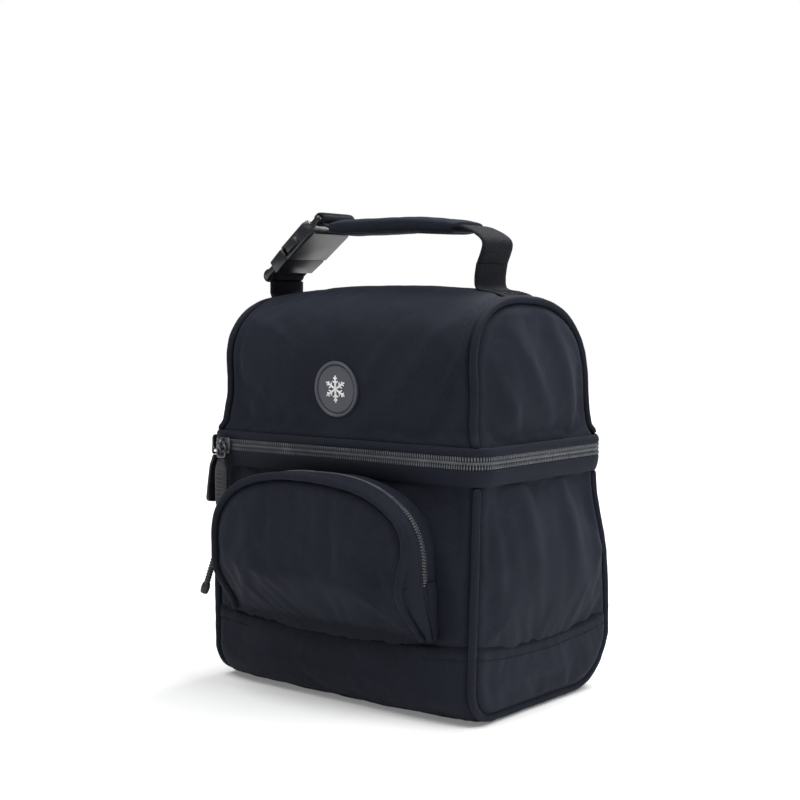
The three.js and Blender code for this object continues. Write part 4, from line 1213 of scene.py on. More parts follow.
    def line(self) -> None:
        """Makes the silver linings and the base board."""
        form = self.form
        rim_low = form.zip_height - form.chain_half - 0.6 * MM
        rim_high = form.zip_height + form.chain_half + 0.6 * MM
        lows = [rim_low, rim_low - 0.8 * MM, rim_low - 2.5 * MM, rim_low - 6 * MM, 0.128, 0.115, 0.09, 0.065, 0.042, 0.024, 0.014]
        outer = [self.level_ring(z, self.foam_gap(rim_low - z)) for z in reversed(lows[1:])]
        rim = [self.level_ring(rim_low, 0.6 * MM), self.level_ring(rim_low, self.wall - 1.2 * MM)]
        inner = [self.level_ring(z, self.wall + self.quilt(z)) for z in lows[1:-1]]
        inner += [self.level_ring(0.0195, self.wall + 3 * MM), self.level_ring(0.0175, self.wall + 9 * MM)]
        tub = loft("tub_lining", [self.shut(outer[0]), *outer, *rim, *inner, self.shut(inner[-1])])
        highs = [rim_high, rim_high + 0.8 * MM, rim_high + 2.5 * MM, rim_high + 6 * MM, 0.168, 0.185, 0.2, 0.213, 0.222, 0.2275]
        outer = [self.level_ring(z, self.foam_gap(z - rim_high)) for z in reversed(highs[1:])]
        rim = [self.level_ring(rim_high, 0.6 * MM), self.level_ring(rim_high, self.wall - 1.2 * MM)]
        inner = [self.level_ring(z, self.wall + self.quilt(z)) for z in highs[1:-2]]
        inner += [self.level_ring(0.2205, self.wall + 3 * MM), self.level_ring(0.2225, self.wall + 9 * MM)]
        lid = loft("lid_lining", [self.shut(outer[0]), *outer, *rim, *inner, self.shut(inner[-1])])
        for piece, body, nodes in ((tub, Body.TUB, ("tub_foam", "tub_liner")), (lid, Body.LID, ("lid_foam", "lid_liner"))):
            dressed(piece, body, Slot.LINER, self.foil, *nodes)
        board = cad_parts["base_board"]
        board.data.materials.clear()
        board.data.materials.append(self.board)

    @staticmethod
    def shut(ring: Sequence[Vector]) -> list[Vector]:
        """A ring drawn together to its middle, which closes a flat end."""
        middle = sum(ring, Vector()) / len(ring)
        return [middle.lerp(p, 0.02) for p in ring]

    @staticmethod
    def foam_gap(past: float) -> float:
        """How far the lining's outer face stays behind the cloth, at a distance past its rim."""
        return (-0.6 + 5.2 * eased(past / (4.5 * MM))) * MM

    def quilt(self, z: float) -> float:
        """How far the lining stands off the wall at a height: it puffs between its seams."""
        return -0.8 * MM * abs(math.sin(z * math.pi / (26 * MM)))

    def around(self, z: float, out: float) -> list[Vector]:
        """A path round the form at a height, a little outside it."""
        return self.level_ring(z, -out, 240)

    def stitch(self) -> None:
        """Sews the stitch lines that show on the shell."""
        sewer = Stitcher()
        runs = (("base_stitches_upper", self.band_top - 1.8 * MM, Body.TUB, ("base_band_cloth", "base_left_cloth",
                                                                             "base_right_cloth")),
                ("base_stitches_lower", self.band_top - 7.5 * MM, Body.TUB, ("base_band_cloth", "base_left_cloth",
                                                                             "base_right_cloth")))
        for name, height, body, cloths in runs:
            targets = [self.panels[c].piece for c in cloths]
            path = [self.hung(p) for p in self.around(height, self.band_out + 0.6 * MM)]
            piece = sewer.run(name, path, targets)
            dressed(piece, body, Slot.SHELL, self.thread)


# ---- Piping, zip tapes and teeth ----


@dataclass
class Piping:
    """Cloth-covered cords in the side seams of the tub and the lid."""

    form: BagForm
    cloth: bpy.types.Material
    radius: float = 2.3 * MM
    fit: float = 0.3 * MM
    stand: float = 1.2 * MM
    lid_start: float = 5.2 * MM
    step: float = 1.6 * MM

    def path(self, sign: int, inset: float, x: float, low: float, high: float) -> list[Vector]:
        """Points beside one side seam between two heights.

        Args:
            sign: 1 for the right seam, -1 for the left.
            inset: How far the path lies outside the outline.
            x: Place across the bag.
            low: Lowest height.
            high: Highest height.

        Returns:
            The points in order.
        """
        form = self.form
        in_lid = low > form.zip_height
        first, last = (low, low) if in_lid else (high, high)
        start = form.run_at(first, not in_lid)
        end = form.run_at(last, in_lid)
        if in_lid:
            start, end = form.run_at(low, False), form.run_at(low, True)
        else:
            start, end = form.run_at(high, True) - form.runs[-1], form.run_at(high, False)
        count = round((end - start) / self.step)
        found = []
        for i in range(count + 1):
            y, z, ny, nz = form.at(start + (end - start) * i / count)
            height = z + nz * inset
            found.append(Vector((sign * form.leaned(x, height), y + ny * inset, height)))
        return found

    def build(self) -> None:
        """Makes the four cords."""
        form = self.form
        settle = (form.edge + self.stand) * math.sqrt(0.5) - form.edge
        x = form.width / 2 + settle
        low = form.zip_height - form.chain_half - form.tape_width - self.fit
        high = form.zip_height + form.chain_half + self.lid_start
        for word, sign in (("left", -1), ("right", 1)):
            lower = tube(f"tub_cord_{word}", self.path(sign, settle, x, 0, low), self.radius, 12,
                         Vector((sign, 0, 0)), 0.09, 3 + sign)
            upper = tube(f"lid_cord_{word}", self.path(sign, settle, x, high, 1), self.radius, 12,
                         Vector((sign, 0, 0)), 0.09, 8 + sign)
            dressed(lower, Body.TUB, Slot.SHELL, self.cloth, f"tub_piping_{word}")
            dressed(upper, Body.LID, Slot.SHELL, self.cloth, f"lid_piping_{word}")


class RimPath:
    """The line of the main zip round the bag, from above: from the back left round the front to the back right."""

    def __init__(self, form: BagForm, hinge_half: float = 74 * MM) -> None:
        """Works out the line at a fine spacing."""
        x = form.width / 2 + form.tape_stand
        front, back = -form.front_at_zip - form.tape_stand, form.back_at_zip + form.tape_stand
        radius = form.rim_corner
        path = [Vector((-hinge_half, back, 0))]
        for cx, cy, start in ((-x + radius, back - radius, 1), (-x + radius, front + radius, 2),
                              (x - radius, front + radius, 3), (x - radius, back - radius, 0)):
            path.extend(Vector((cx + radius * math.cos((start + k / 8) * math.pi / 2),
                                cy + radius * math.sin((start + k / 8) * math.pi / 2), 0)) for k in range(9))
        path.append(Vector((hinge_half, back, 0)))
        self.points = path
        self.length = sum((b - a).length for a, b in zip(path, path[1:]))

    def stations(self, count: int) -> list[tuple[Vector, Vector, Vector]]:
        """Evenly spaced places on the line.

        Args:
            count: How many steps to make.

        Returns:
            For each place its point, its way along and its way out.
        """
        even = resampled(self.points, self.length / count)
        found = []
        for i, p in enumerate(even):
            along = (even[min(i + 1, len(even) - 1)] - even[max(i - 1, 0)]).normalized()
            found.append((p, along, Vector((along.y, -along.x, 0))))
        return found


@dataclass
class ZipChain:
    """Moulded coil teeth in two interlocking rows, and the thin tape behind them."""

    half: float = 3.6 * MM
    pitch: float = 1.65 * MM
    thick: float = 0.5 * MM
    rise: float = 0.5 * MM
    lean: float = 0.3 * MM

    def teeth(self, name: str, places: Sequence[tuple[Vector, Vector, Vector, Vector]], side: int) -> bpy.types.Object:
        """Makes one row of teeth.

        Args:
            name: The object's name.
            places: For each tooth its point on the chain's middle, and its ways along, across and out.
            side: 1 for the upper or rear row, -1 for the other.

        Returns:
            The row as one object.
        """
        profile = ((1.0, 0.6, 0.1), (0.9, 0.9, 0.7), (0.72, 1.0, 1.0), (0.5, 0.9, 0.9), (0.36, 0.5, 0.45),
                   (0.2, 0.6, 0.75), (0.02, 0.68, 1.0), (-0.16, 0.6, 0.7), (-0.24, 0.4, 0.4))
        points, faces = [], []
        count = 7
        for p, along, across, out in places:
            base = len(points)
            for share, wide, rise in profile:
                middle = p + across * (side * self.half * share) + out * (rise * self.rise)
                middle = middle + along * (self.lean * (1 - share))
                for k in range(count):
                    turn = TURN * k / count
                    points.append(middle + along * (self.thick * wide * 0.86 * math.cos(turn))
                                  + out * (self.thick * wide * 0.7 * math.sin(turn)))
            rows = len(profile)
            for r in range(rows - 1):
                for k in range(count):
                    m = (k + 1) % count
                    faces.append((base + r * count + k, base + r * count + m,
                                  base + (r + 1) * count + m, base + (r + 1) * count + k))
            faces.append(tuple(base + k for k in reversed(range(count))))
            faces.append(tuple(base + (rows - 1) * count + k for k in range(count)))
        made = mesh_object(name, points, faces)
        outward(made)
        return made

    def tape(self, name: str, places: Sequence[tuple[Vector, Vector, Vector, Vector]], near: float,
             far: float, side: int) -> bpy.types.Object:
        """Makes the thin tape behind one row, between two distances from the middle."""
        rings = []
        for p, along, across, out in places:
            rings.append([p + across * (side * a) + out * b for a, b in
                          ((near, -0.75 * MM), (far, -0.75 * MM), (far, -0.2 * MM), (near, -0.2 * MM))])
        return loft(name, rings)


@dataclass
class MainZip:
    """The zip between tub and lid: cloth bands, teeth, their tape and the hinge at the back."""

    form: BagForm
    cloth: bpy.types.Material
    coil: bpy.types.Material
    tape: bpy.types.Material
    thick: float = 1.5 * MM
    slope: float = 0.2
    lid_band: float = 4.6 * MM
    chain: ZipChain = field(default_factory=ZipChain)
    hinge_half: float = 74 * MM

    def band_section(self, near: float, far: float, wave: float) -> list[Point]:
        """The rounded section of a cloth band, which leans in away from the teeth.

        Args:
            near: Distance of its edge beside the teeth from the chain's middle.
            far: Distance of its other edge.
            wave: How far its middle puffs out.

        Returns:
            Places out of the wall, and distances from the chain's middle.
        """
        half, soft = self.thick / 2, 0.5 * MM
        rows = [(-half, near + soft), (-half * 0.4, near), (half * 0.7, near), (half, near + soft),
                (half + wave, (near * 2 + far) / 3), (half + wave, (near + far * 2) / 3),
                (half, far - soft), (half * 0.7, far), (-half * 0.4, far), (-half, far - soft)]
        return [(n - self.slope * max(0.0, h - near), h) for n, h in rows]

    def build(self) -> None:
        """Makes the bands, the teeth and the hinge."""
        form = self.form
        rim = RimPath(form)
        z, half, wide = form.zip_height, form.chain_half, form.tape_width
        up = Vector((0, 0, 1))
        even = rim.stations(round(rim.length / (2.2 * MM)))
        for word, body, side, far in (("tub", Body.TUB, -1, half + wide - 0.6 * MM),
                                      ("lid", Body.LID, 1, half + self.lid_band)):
            rings = []
            for p, along, out in even:
                wave = 0.35 * MM * (1 + noise.noise(p * 45 + Vector((0, 0, side * 5))))
                drift = 0.3 * MM * noise.noise(p * 28 + Vector((3, 0, side * 7)))
                rings.append([p + out * n + up * (z + side * (h + (drift if h > half + 2 * MM else 0)))
                              for n, h in self.band_section(half - 0.1 * MM, far, wave)])
            band = loft(f"{word}_zip_band", rings)
            dressed(band, body, Slot.SHELL, self.cloth, f"{word}_zip_tape")
        count = round(rim.length / self.chain.pitch)
        places = [(p + up * z, along, up, out) for p, along, out in rim.stations(count * 2)]
        lower = self.chain.teeth("tub_coil", places[1::2], -1)
        upper = self.chain.teeth("lid_coil", places[0::2], 1)
        dressed(lower, Body.TUB, Slot.COIL, self.coil, "tub_zip_teeth")
        dressed(upper, Body.LID, Slot.COIL, self.coil, "lid_zip_teeth")
        for word, side, body in (("tub", -1, Body.TUB), ("lid", 1, Body.LID)):
            tape = self.chain.tape(f"{word}_coil_tape", places[::3], 0.15 * MM, half + 1.5 * MM, side)
            dressed(tape, body, Slot.SHELL, self.tape)
        self.hinge()

    def hinge(self) -> None:
        """Makes the cloth hinge between the zip's two ends."""
        form = self.form
        back = form.back_at_zip + form.tape_stand
        low, high = form.zip_height - form.chain_half - form.tape_width, form.zip_height + form.chain_half + form.tape_width
        rings = []
        for i in range(49):
            x = (self.hinge_half - 0.6 * MM) * (i / 24 - 1)
            ring = []
            for k in range(13):
                z = low + (high - low) * k / 12
                soft = 0.5 * MM * noise.noise(Vector((x * 40, z * 90, 3)))
                ring.append(Vector((x, back + 0.55 * MM + soft * math.sin(math.pi * k / 12), z)))
            rings.append(ring)
        strip = loft("hinge_cloth", rings, closed=False, caps=False)
        modifier(strip, "SOLIDIFY", thickness=0.9 * MM, offset=-1.0)
        applied(strip)
        strip.data.shade_smooth()
        strip.data.materials.clear()
        strip.data.materials.append(self.cloth)
        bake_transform(strip)
        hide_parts("hinge_strip")
        log.info("%s bends between tub and lid", strip.name)


# ---- Studio ----


@dataclass
class Studio:
    """White floor and world, soft lamps, and the camera at the photograph's angle."""

    azimuth: float = 39.1
    pitch: float = 3.68
    distance: float = 929 * MM
    lens: float = 67.9
    sensor: float = 36.0
    aim_side: float = -4.5 * MM
    aim_height: float = 174.5 * MM
    floor_half: float = 3.0

    def build(self) -> None:
        """Makes floor, world, lamps and camera."""
        self.floor()
        self.world()
        self.lamp("key_lamp", (0.1, 0.85, 1.6), 0.8, 32)
        self.lamp("side_lamp", (1.15, 0.05, 1.4), 1.0, 19)
        self.lamp("front_lamp", (-0.35, -0.75, 1.75), 1.2, 25)
        self.camera()

    def floor(self) -> None:
        """Makes the floor, which turns white for the camera but keeps the shadow."""
        half = self.floor_half
        plane = mesh_object("floor", [Vector((-half, -half, 0)), Vector((half, -half, 0)),
                                      Vector((half, half, 0)), Vector((-half, half, 0))], [(0, 1, 2, 3)])
        s = Shader("studio_floor")
        path = s.node("ShaderNodeLightPath")
        seen = s.value(path, "Is Camera Ray") + s.value(path, "Is Glossy Ray") + s.value(path, "Is Transmission Ray")
        soft = s.node("ShaderNodeBsdfDiffuse", None, {"Color": (0.9, 0.9, 0.9, 1)})
        glow = s.node("ShaderNodeEmission", None, {"Color": (1, 1, 1, 1), "Strength": 1.4})
        x, y, _ = s.parts(s.place())
        far = (((x * x + y * y) ** 0.5 - 0.2) / 0.35).clamped()
        both = s.node("ShaderNodeMixShader", None, {0: seen.clamped() * (0.12 + 0.88 * far), 1: soft.outputs[0],
                                                    2: glow.outputs[0]})
        s.node("ShaderNodeOutputMaterial", None, {"Surface": both.outputs[0]})
        plane.data.materials.append(s.material)

    def world(self) -> None:
        """Makes a world that is white to the camera and plain grey to the object."""
        world = bpy.data.worlds.new("studio_world")
        bpy.context.scene.world = world
        world.use_nodes = True
        tree = world.node_tree
        tree.nodes.clear()
        path = tree.nodes.new("ShaderNodeLightPath")
        far = tree.nodes.new("ShaderNodeBackground")
        far.inputs["Color"].default_value = (1, 1, 1, 1)
        far.inputs["Strength"].default_value = 1.0
        near = tree.nodes.new("ShaderNodeBackground")
        near.inputs["Color"].default_value = (0.8, 0.82, 0.86, 1)
        near.inputs["Strength"].default_value = 0.22
        mix = tree.nodes.new("ShaderNodeMixShader")
        out = tree.nodes.new("ShaderNodeOutputWorld")
        tree.links.new(path.outputs["Is Camera Ray"], mix.inputs[0])
        tree.links.new(near.outputs[0], mix.inputs[1])
        tree.links.new(far.outputs[0], mix.inputs[2])
        tree.links.new(mix.outputs[0], out.inputs["Surface"])

    def lamp(self, name: str, at: tuple[float, float, float], size: float, power: float) -> None:
        """Makes one soft square lamp that faces the bag."""
        light = bpy.data.lights.new(name, "AREA")
        light.size = size
        light.energy = power
        piece = bpy.data.objects.new(name, light)
        bpy.context.scene.collection.objects.link(piece)
        piece.location = at
        piece.rotation_mode = "QUATERNION"
        piece.rotation_quaternion = (Vector((0, 0, 0.13)) - Vector(at)).to_track_quat("-Z", "Y")

    def camera(self) -> None:
        """Makes the camera."""
        a, p = math.radians(self.azimuth), math.radians(self.pitch)
        back = Vector((math.sin(a) * math.cos(p), -math.cos(a) * math.cos(p), math.sin(p)))
        aim = Vector((math.cos(a), math.sin(a), 0)) * self.aim_side + Vector((0, 0, self.aim_height))
        lens = bpy.data.cameras.new("camera")
        lens.lens, lens.sensor_width = self.lens, self.sensor
        piece = bpy.data.objects.new("camera", lens)
        bpy.context.scene.collection.objects.link(piece)
        piece.location = aim + back * self.distance
        piece.rotation_mode = "QUATERNION"
        piece.rotation_quaternion = (-back).to_track_quat("-Z", "Y")
        bpy.context.scene.camera = piece


# ---- Front pocket ----


@dataclass
class FrontPocket:
    """The arched front pocket: bulging panel, corded edge, gusset halves, zip and end tabs."""

    form: BagForm
    room: SewingRoom
    cloth: bpy.types.Material
    side_cloth: bpy.types.Material
    coil: bpy.types.Material
    tape: bpy.types.Material
    centre: float = 52 * MM
    radius: float = 83 * MM
    flare: float = 5 * MM
    back: float = 71.5 * MM
    depth: float = 21 * MM
    fabric: float = 1.2 * MM
    zip_at: float = 80 * MM
    coil_half: float = 2.4 * MM
    zip_start: float = 0.35
    floor: float = 46.5 * MM
    cord: float = 2.35 * MM
    crown: float = 4.5 * MM
    sag: tuple[tuple[float, float], ...] = (
        (-4.0, 71.5), (-0.9, 68.6), (6.4, 67.3), (13.9, 69.3), (21.7, 74.0), (28.0, 80.2), (33.0, 87.0),
        (38.5, 91.6), (44.1, 92.6), (50.6, 91.6), (56.7, 90.1), (65.0, 87.6), (77.3, 84.2), (93.3, 83.4),
        (109.3, 86.9), (119.9, 90.4), (128.9, 93.0), (135.8, 93.2), (142.8, 91.4), (149.3, 87.0), (156.2, 81.4),
        (164.8, 77.2), (175.5, 76.4), (184.0, 77.5))
    swell: tuple[tuple[float, float], ...] = (
        (-10.0, -7.0), (4.0, -6.5), (12.0, -5.2), (19.4, -2.9), (25.5, 0.0), (32.2, 4.4), (38.4, 7.0), (44.4, 8.0),
        (51.0, 7.4), (58.3, 6.2), (68.0, 3.8), (80.0, 1.2), (89.5, 0.0), (100.0, 1.0), (114.0, 3.4), (127.0, 4.4),
        (140.0, 3.2), (153.5, 0.0), (162.0, -2.4), (175.0, -4.0), (190.0, -5.0))
    panel: SewnPanel = field(init=False)

    @staticmethod
    def looked_up(table: Sequence[Point], degrees: float) -> float:
        """A smooth curve through a table's rows, in metres.

        Args:
            table: Angles in degrees and values in millimetres.
            degrees: The angle to look up.

        Returns:
            The value there.
        """
        degrees = max(table[0][0], min(table[-1][0], degrees))
        i = max(k for k in range(len(table) - 1) if k == 0 or degrees >= table[k][0])
        a, b, c, d = (table[max(0, min(len(table) - 1, i + k))] for k in (-1, 0, 1, 2))
        t = (degrees - b[0]) / (c[0] - b[0])
        slope_b = (c[1] - a[1]) / (c[0] - a[0]) * (c[0] - b[0])
        slope_c = (d[1] - b[1]) / (d[0] - b[0]) * (c[0] - b[0])
        t2, t3 = t * t, t ** 3
        return MM * ((2 * t3 - 3 * t2 + 1) * b[1] + (t3 - 2 * t2 + t) * slope_b
                     + (3 * t2 - 2 * t3) * c[1] + (t3 - t2) * slope_c)

    def edge_radius(self, turn: float) -> float:
        """Distance from the arch's centre to the cord's middle, at an angle in radians."""
        return self.looked_up(self.sag, math.degrees(turn)) - 0.5 * MM

    def stand(self, z: float) -> float:
        """How far in front of the bag's middle the pocket's edge stands at a height."""
        return self.back + self.depth * (0.08 + 0.92 * eased((z - 45 * MM) / (34 * MM)))

    def edge(self, count: int, drop: float = 0.0) -> list[Vector]:
        """Points of the corded edge, drawn in by a distance, from the right of the floor to the left."""
        found = []
        for i in range(count + 1):
            turn = math.radians(-4.0 + 188.0 * i / count)
            reach = self.edge_radius(turn) - drop
            x, z = reach * math.cos(turn), self.centre + reach * math.sin(turn)
            found.append(Vector((x, -self.stand(z), z)))
        return found

    def arch(self, turn: float, y: float, out: float) -> Vector:
        """A point of the true arch at an angle, a distance in front of the middle, and how far it stands out."""
        reach = self.radius + self.flare * (y - self.back) / self.depth - self.fabric / 2 + out
        reach += self.looked_up(self.swell, math.degrees(turn))
        return Vector((reach * math.cos(turn), -y, self.centre + reach * math.sin(turn)))

    def cut(self) -> None:
        """Cuts the front panel for the cloth solver."""
        rim = self.edge(120, self.cord * 0.8)
        ring = [(p.x, p.z) for p in rim]
        edges = np.array(ring)
        hollow = Vector((56 * MM, 79 * MM))

        def place(x: float, z: float) -> Vector:
            """A point of the panel, bulging forward between its edges."""
            gap = float(distances(np.array([[x, z]]), edges)[0])
            rise = self.crown * math.sin(min(1.0, gap / (36 * MM)) * math.pi / 2)
            far = (Vector((x, z)) - hollow).length
            dent = 5.5 * MM * math.exp(-(far / (15 * MM)) ** 2)
            return Vector((x, -self.stand(z) - rise + dent, z))

        self.panel = self.room.add(SewnPanel("pocket_front_cloth", ring, place, Vector((0, 0, 0.09)), cap=4.5 * MM,
                                             slack=0.022, pressure=1.2, seed=31, spacing=3.4 * MM))

    def strip(self, name: str, near: Callable[[float], Vector], far: Callable[[float], Vector], start: float,
              end: float, puff: float, seed: int, rows: int = 7, columns: int = 110) -> bpy.types.Object:
        """Makes a strip of cloth between two curves.

        Args:
            name: The object's name.
            near: One edge, by angle.
            far: The other edge, by angle.
            start: First angle.
            end: Last angle.
            puff: How far it stands out between its edges.
            seed: Shifts its wrinkles.
            rows: Points across it.
            columns: Steps along it.

        Returns:
            The strip, with thickness.
        """
        rings = []
        middle = Vector((0, 0, self.centre))
        for i in range(columns + 1):
            turn = start + (end - start) * i / columns
            a, b = near(turn), far(turn)
            ring = []
            for k in range(rows + 1):
                share = k / rows
                p = a.lerp(b, share)
                away = Vector((p.x, 0, p.z)) - middle
                lift = puff * math.sin(math.pi * share)
                lift += 0.6 * MM * noise.noise(Vector((turn * 5, share * 1.2, seed))) * math.sin(math.pi * share)
                ring.append(p + away.normalized() * lift)
            rings.append(ring)
        made = loft(name, rings, closed=False, caps=False)
        modifier(made, "SUBSURF", levels=1, render_levels=1)
        modifier(made, "SOLIDIFY", thickness=self.fabric, offset=-1.0)
        applied(made)
        made.data.shade_smooth()
        return made

    def wall(self, turn: float) -> Vector:
        """Where the gusset is sewn to the bag's front, sunk into its cloth."""
        p = self.arch(turn, self.back, 0)
        depth = self.form.depth_at(p.z, True)
        return Vector((p.x, depth + 0.5 * MM, p.z))

    def dress(self) -> None:
        """Makes the rest of the pocket and gives every piece its body and cloth."""
        dressed(self.panel.piece, Body.FLAP, Slot.SHELL, self.cloth, "pocket_panel")
        cord = tube("pocket_cord", self.edge(150, 0), self.cord, 12, Vector((0, 1, 0)), 0.09, 21)
        dressed(cord, Body.FLAP, Slot.SHELL, self.cloth, "pocket_piping")
        start, end = math.radians(-3.5), math.radians(184.0)
        half = self.coil_half + 0.35 * MM

        def taper(turn: float) -> float:
            """How fully the zip line stands off the wall at an angle."""
            return self.stand(self.centre + self.radius * math.sin(turn)) - self.back - self.depth

        rear = self.strip("pocket_rear_cloth", self.wall,
                          lambda t: self.arch(t, self.zip_at - half + taper(t) * 0.4, 0), start, end, 0.8 * MM, 4)
        front = self.strip("pocket_side_cloth", lambda t: self.arch(t, self.zip_at + half + taper(t) * 0.4, 0),
                           self.rim, start, end, 1.0 * MM, 9)
        dressed(rear, Body.TUB, Slot.SIDE, self.side_cloth, "pocket_gusset_rear")
        dressed(front, Body.FLAP, Slot.SIDE, self.side_cloth, "pocket_gusset_front")
        self.zip()
        for word, low, high in (("right", -3.0, 20.5), ("left", 159.5, 183.0)):
            tab = self.strip(f"pocket_tab_{word}", lambda t: self.arch(t, self.zip_at + 0.4 * MM + taper(t) * 0.4, 1.3 * MM),
                             lambda t: self.rim(t, 1.2 * MM), math.radians(low), math.radians(high), 0.8 * MM, 14,
                             columns=24)
            dressed(tab, Body.FLAP, Slot.SHELL, self.cloth, f"pocket_end_tab_{word}")
            patch = self.strip(f"pocket_patch_{word}", self.wall,
                               lambda t: self.arch(t, self.zip_at - 0.4 * MM + taper(t) * 0.4, 1.3 * MM),
                               math.radians(low), math.radians(high), 1.4 * MM, 15, columns=24)
            dressed(patch, Body.TUB, Slot.SHELL, self.cloth)

    def rim(self, turn: float, out: float = 0.0) -> Vector:
        """Where the gusset meets the cord at an angle."""
        reach = self.edge_radius(turn) + out
        z = self.centre + reach * math.sin(turn)
        return Vector((reach * math.cos(turn), -self.stand(z) + self.cord * 0.5, z))

    def zip(self) -> None:
        """Makes the pocket zip's two rows of teeth on the true arch."""
        tilt = math.atan2(self.flare, self.depth)
        start, end = self.zip_start, math.pi - self.zip_start
        chain = ZipChain(half=self.coil_half, pitch=1.5 * MM, thick=0.46 * MM, lean=0.25 * MM)
        reach = self.radius + self.flare * (self.zip_at - self.back) / self.depth
        count = round((end - start) * reach / chain.pitch)
        places = []
        for i in range(2 * count + 1):
            turn = start + (end - start) * i / (2 * count)
            along = (self.arch(turn + 0.01, self.zip_at, 0) - self.arch(turn - 0.01, self.zip_at, 0)).normalized()
            out = Vector((along.z, 0, -along.x)) * math.cos(tilt) + Vector((0, math.sin(tilt), 0))
            places.append((self.arch(turn, self.zip_at, 0), along, out.cross(along) * -1, out))
        for word, side, body, node in (("rear", 1, Body.TUB, "pocket_zip_teeth_rear"),
                                       ("front", -1, Body.FLAP, "pocket_zip_teeth_front")):
            row = chain.teeth(f"pocket_coil_{word}", places[(side + 1) // 2::2], side)
            dressed(row, body, Slot.COIL, self.coil, node)
            tape = chain.tape(f"pocket_tape_{word}", places[::3], 0.1 * MM, self.coil_half + 1.2 * MM, side)
            dressed(tape, body, Slot.SHELL, self.tape)


# ---- Sliders and pulls ----


def moulding(name: str, outline: Sequence[Point], low: float, high: float, soft: float) -> bpy.types.Object:
    """A flat moulding: an outline in x and y given thickness in z, with softened edges."""
    count = len(outline)
    points = [Vector((x, y, z)) for z in (low, high) for x, y in outline]
    faces: list[tuple[int, ...]] = [(i, (i + 1) % count, (i + 1) % count + count, i + count) for i in range(count)]
    faces += [tuple(reversed(range(count))), tuple(range(count, 2 * count))]
    made = mesh_object(name, points, faces)
    outward(made)
    modifier(made, "BEVEL", width=soft, segments=3, limit_method="ANGLE", angle_limit=math.radians(40))
    modifier(made, "WEIGHTED_NORMAL", keep_sharp=True)
    return applied(made)


def joined(name: str, pieces: Sequence[bpy.types.Object]) -> bpy.types.Object:
    """Joins pieces into one object."""
    work = bmesh.new()
    for piece in pieces:
        work.from_mesh(piece.data)
        bpy.data.objects.remove(piece)
    mesh = bpy.data.meshes.new(name)
    work.to_mesh(mesh)
    work.free()
    mesh.shade_smooth()
    made = bpy.data.objects.new(name, mesh)
    bpy.context.scene.collection.objects.link(made)
    return made


def rounded(width: float, height: float, corner: float, steps: int) -> list[Point]:
    """Corner points of a rounded rectangle about the origin."""
    found = []
    for quarter, (sx, sy) in enumerate(((1, 1), (-1, 1), (-1, -1), (1, -1))):
        for i in range(steps + 1):
            turn = (quarter + i / steps) * math.pi / 2
            found.append((sx * (width / 2 - corner) + corner * math.cos(turn),
                          sy * (height / 2 - corner) + corner * math.sin(turn)))
    return found


@dataclass
class ZipSlider:
    """A zip slider with its wire ring, in a frame with x along the chain, y across it and z out."""

    name: str
    place: Matrix
    body: Body
    pull_body: Body
    metal: bpy.types.Material
    chain: float
    along: bool
    long: float = 12 * MM
    high: float = 9 * MM
    plate: float = 1.3 * MM
    lift: float = 2.3 * MM
    outer: float = 3.9 * MM
    bar: float = 0.85 * MM
    wire: float = 0.8 * MM
    ring_wide: float = 6.6 * MM
    ring_drop: float = 7.6 * MM
    hang: float = 4.8 * MM
    ring_turn: Matrix = field(default_factory=lambda: Matrix.Identity(4))

    def build(self) -> None:
        """Makes the slider and its ring."""
        half, tall = self.long / 2, self.high / 2
        nose = [(half, -tall * 0.55), (half, tall * 0.55), (half * 0.82, tall), (-half * 0.2, tall),
                (-half * 0.62, tall * 0.72), (-half, tall * 0.42), (-half, -tall * 0.42), (-half * 0.62, -tall * 0.72),
                (-half * 0.2, -tall), (half * 0.82, -tall)]
        top = moulding("top", nose, self.lift, self.lift + self.plate, 0.4 * MM)
        rim = -self.chain - 0.3 * MM
        flange = moulding("flange", [(-half * 0.55, rim - 1.2 * MM), (half * 0.8, rim - 1.2 * MM),
                                     (half * 0.8, rim), (-half * 0.55, rim)], 0.9 * MM, self.lift + 0.7 * MM, 0.3 * MM)
        path = []
        reach = self.outer - self.bar
        for i in range(17):
            turn = math.pi * i / 16
            side = reach * math.cos(turn)
            rise = self.lift + self.plate - 0.4 * MM + (reach + 0.5 * MM) * math.sin(turn)
            path.append(Vector((0, side, rise)) if self.along else Vector((side, 0, rise)))
        bridge = tube("bridge", path, self.bar, 8, Vector((1, 0, 0)) if self.along else Vector((0, 1, 0)))
        stretch = Matrix.Diagonal((1.35, 1, 1, 1)) if self.along else Matrix.Diagonal((1, 1.35, 1, 1))
        bridge.data.transform(stretch)
        body = joined(self.name, [top, flange, bridge])
        body.data.transform(self.place)
        dressed(body, self.body, Slot.METAL, self.metal, self.name.replace("_plated", ""))
        loop = [Vector((x, y - self.ring_drop / 2, self.hang)) for x, y in
                rounded(self.ring_wide, self.ring_drop, 1.4 * MM, 5)]
        loop.append(loop[0].copy())
        loop.append(loop[1].copy())
        ring = tube(self.name.replace("slider_plated", "ring_wire"), loop, self.wire, 8, Vector((0, 0, 1)))
        self.ring(ring)

    def ring(self, ring: bpy.types.Object) -> None:
        """Places the ring under the slider's arch."""
        ring.data.transform(self.place @ self.ring_turn)
        dressed(ring, self.pull_body, Slot.METAL, self.metal,
                self.name.replace("slider_plated", "pull_ring"))


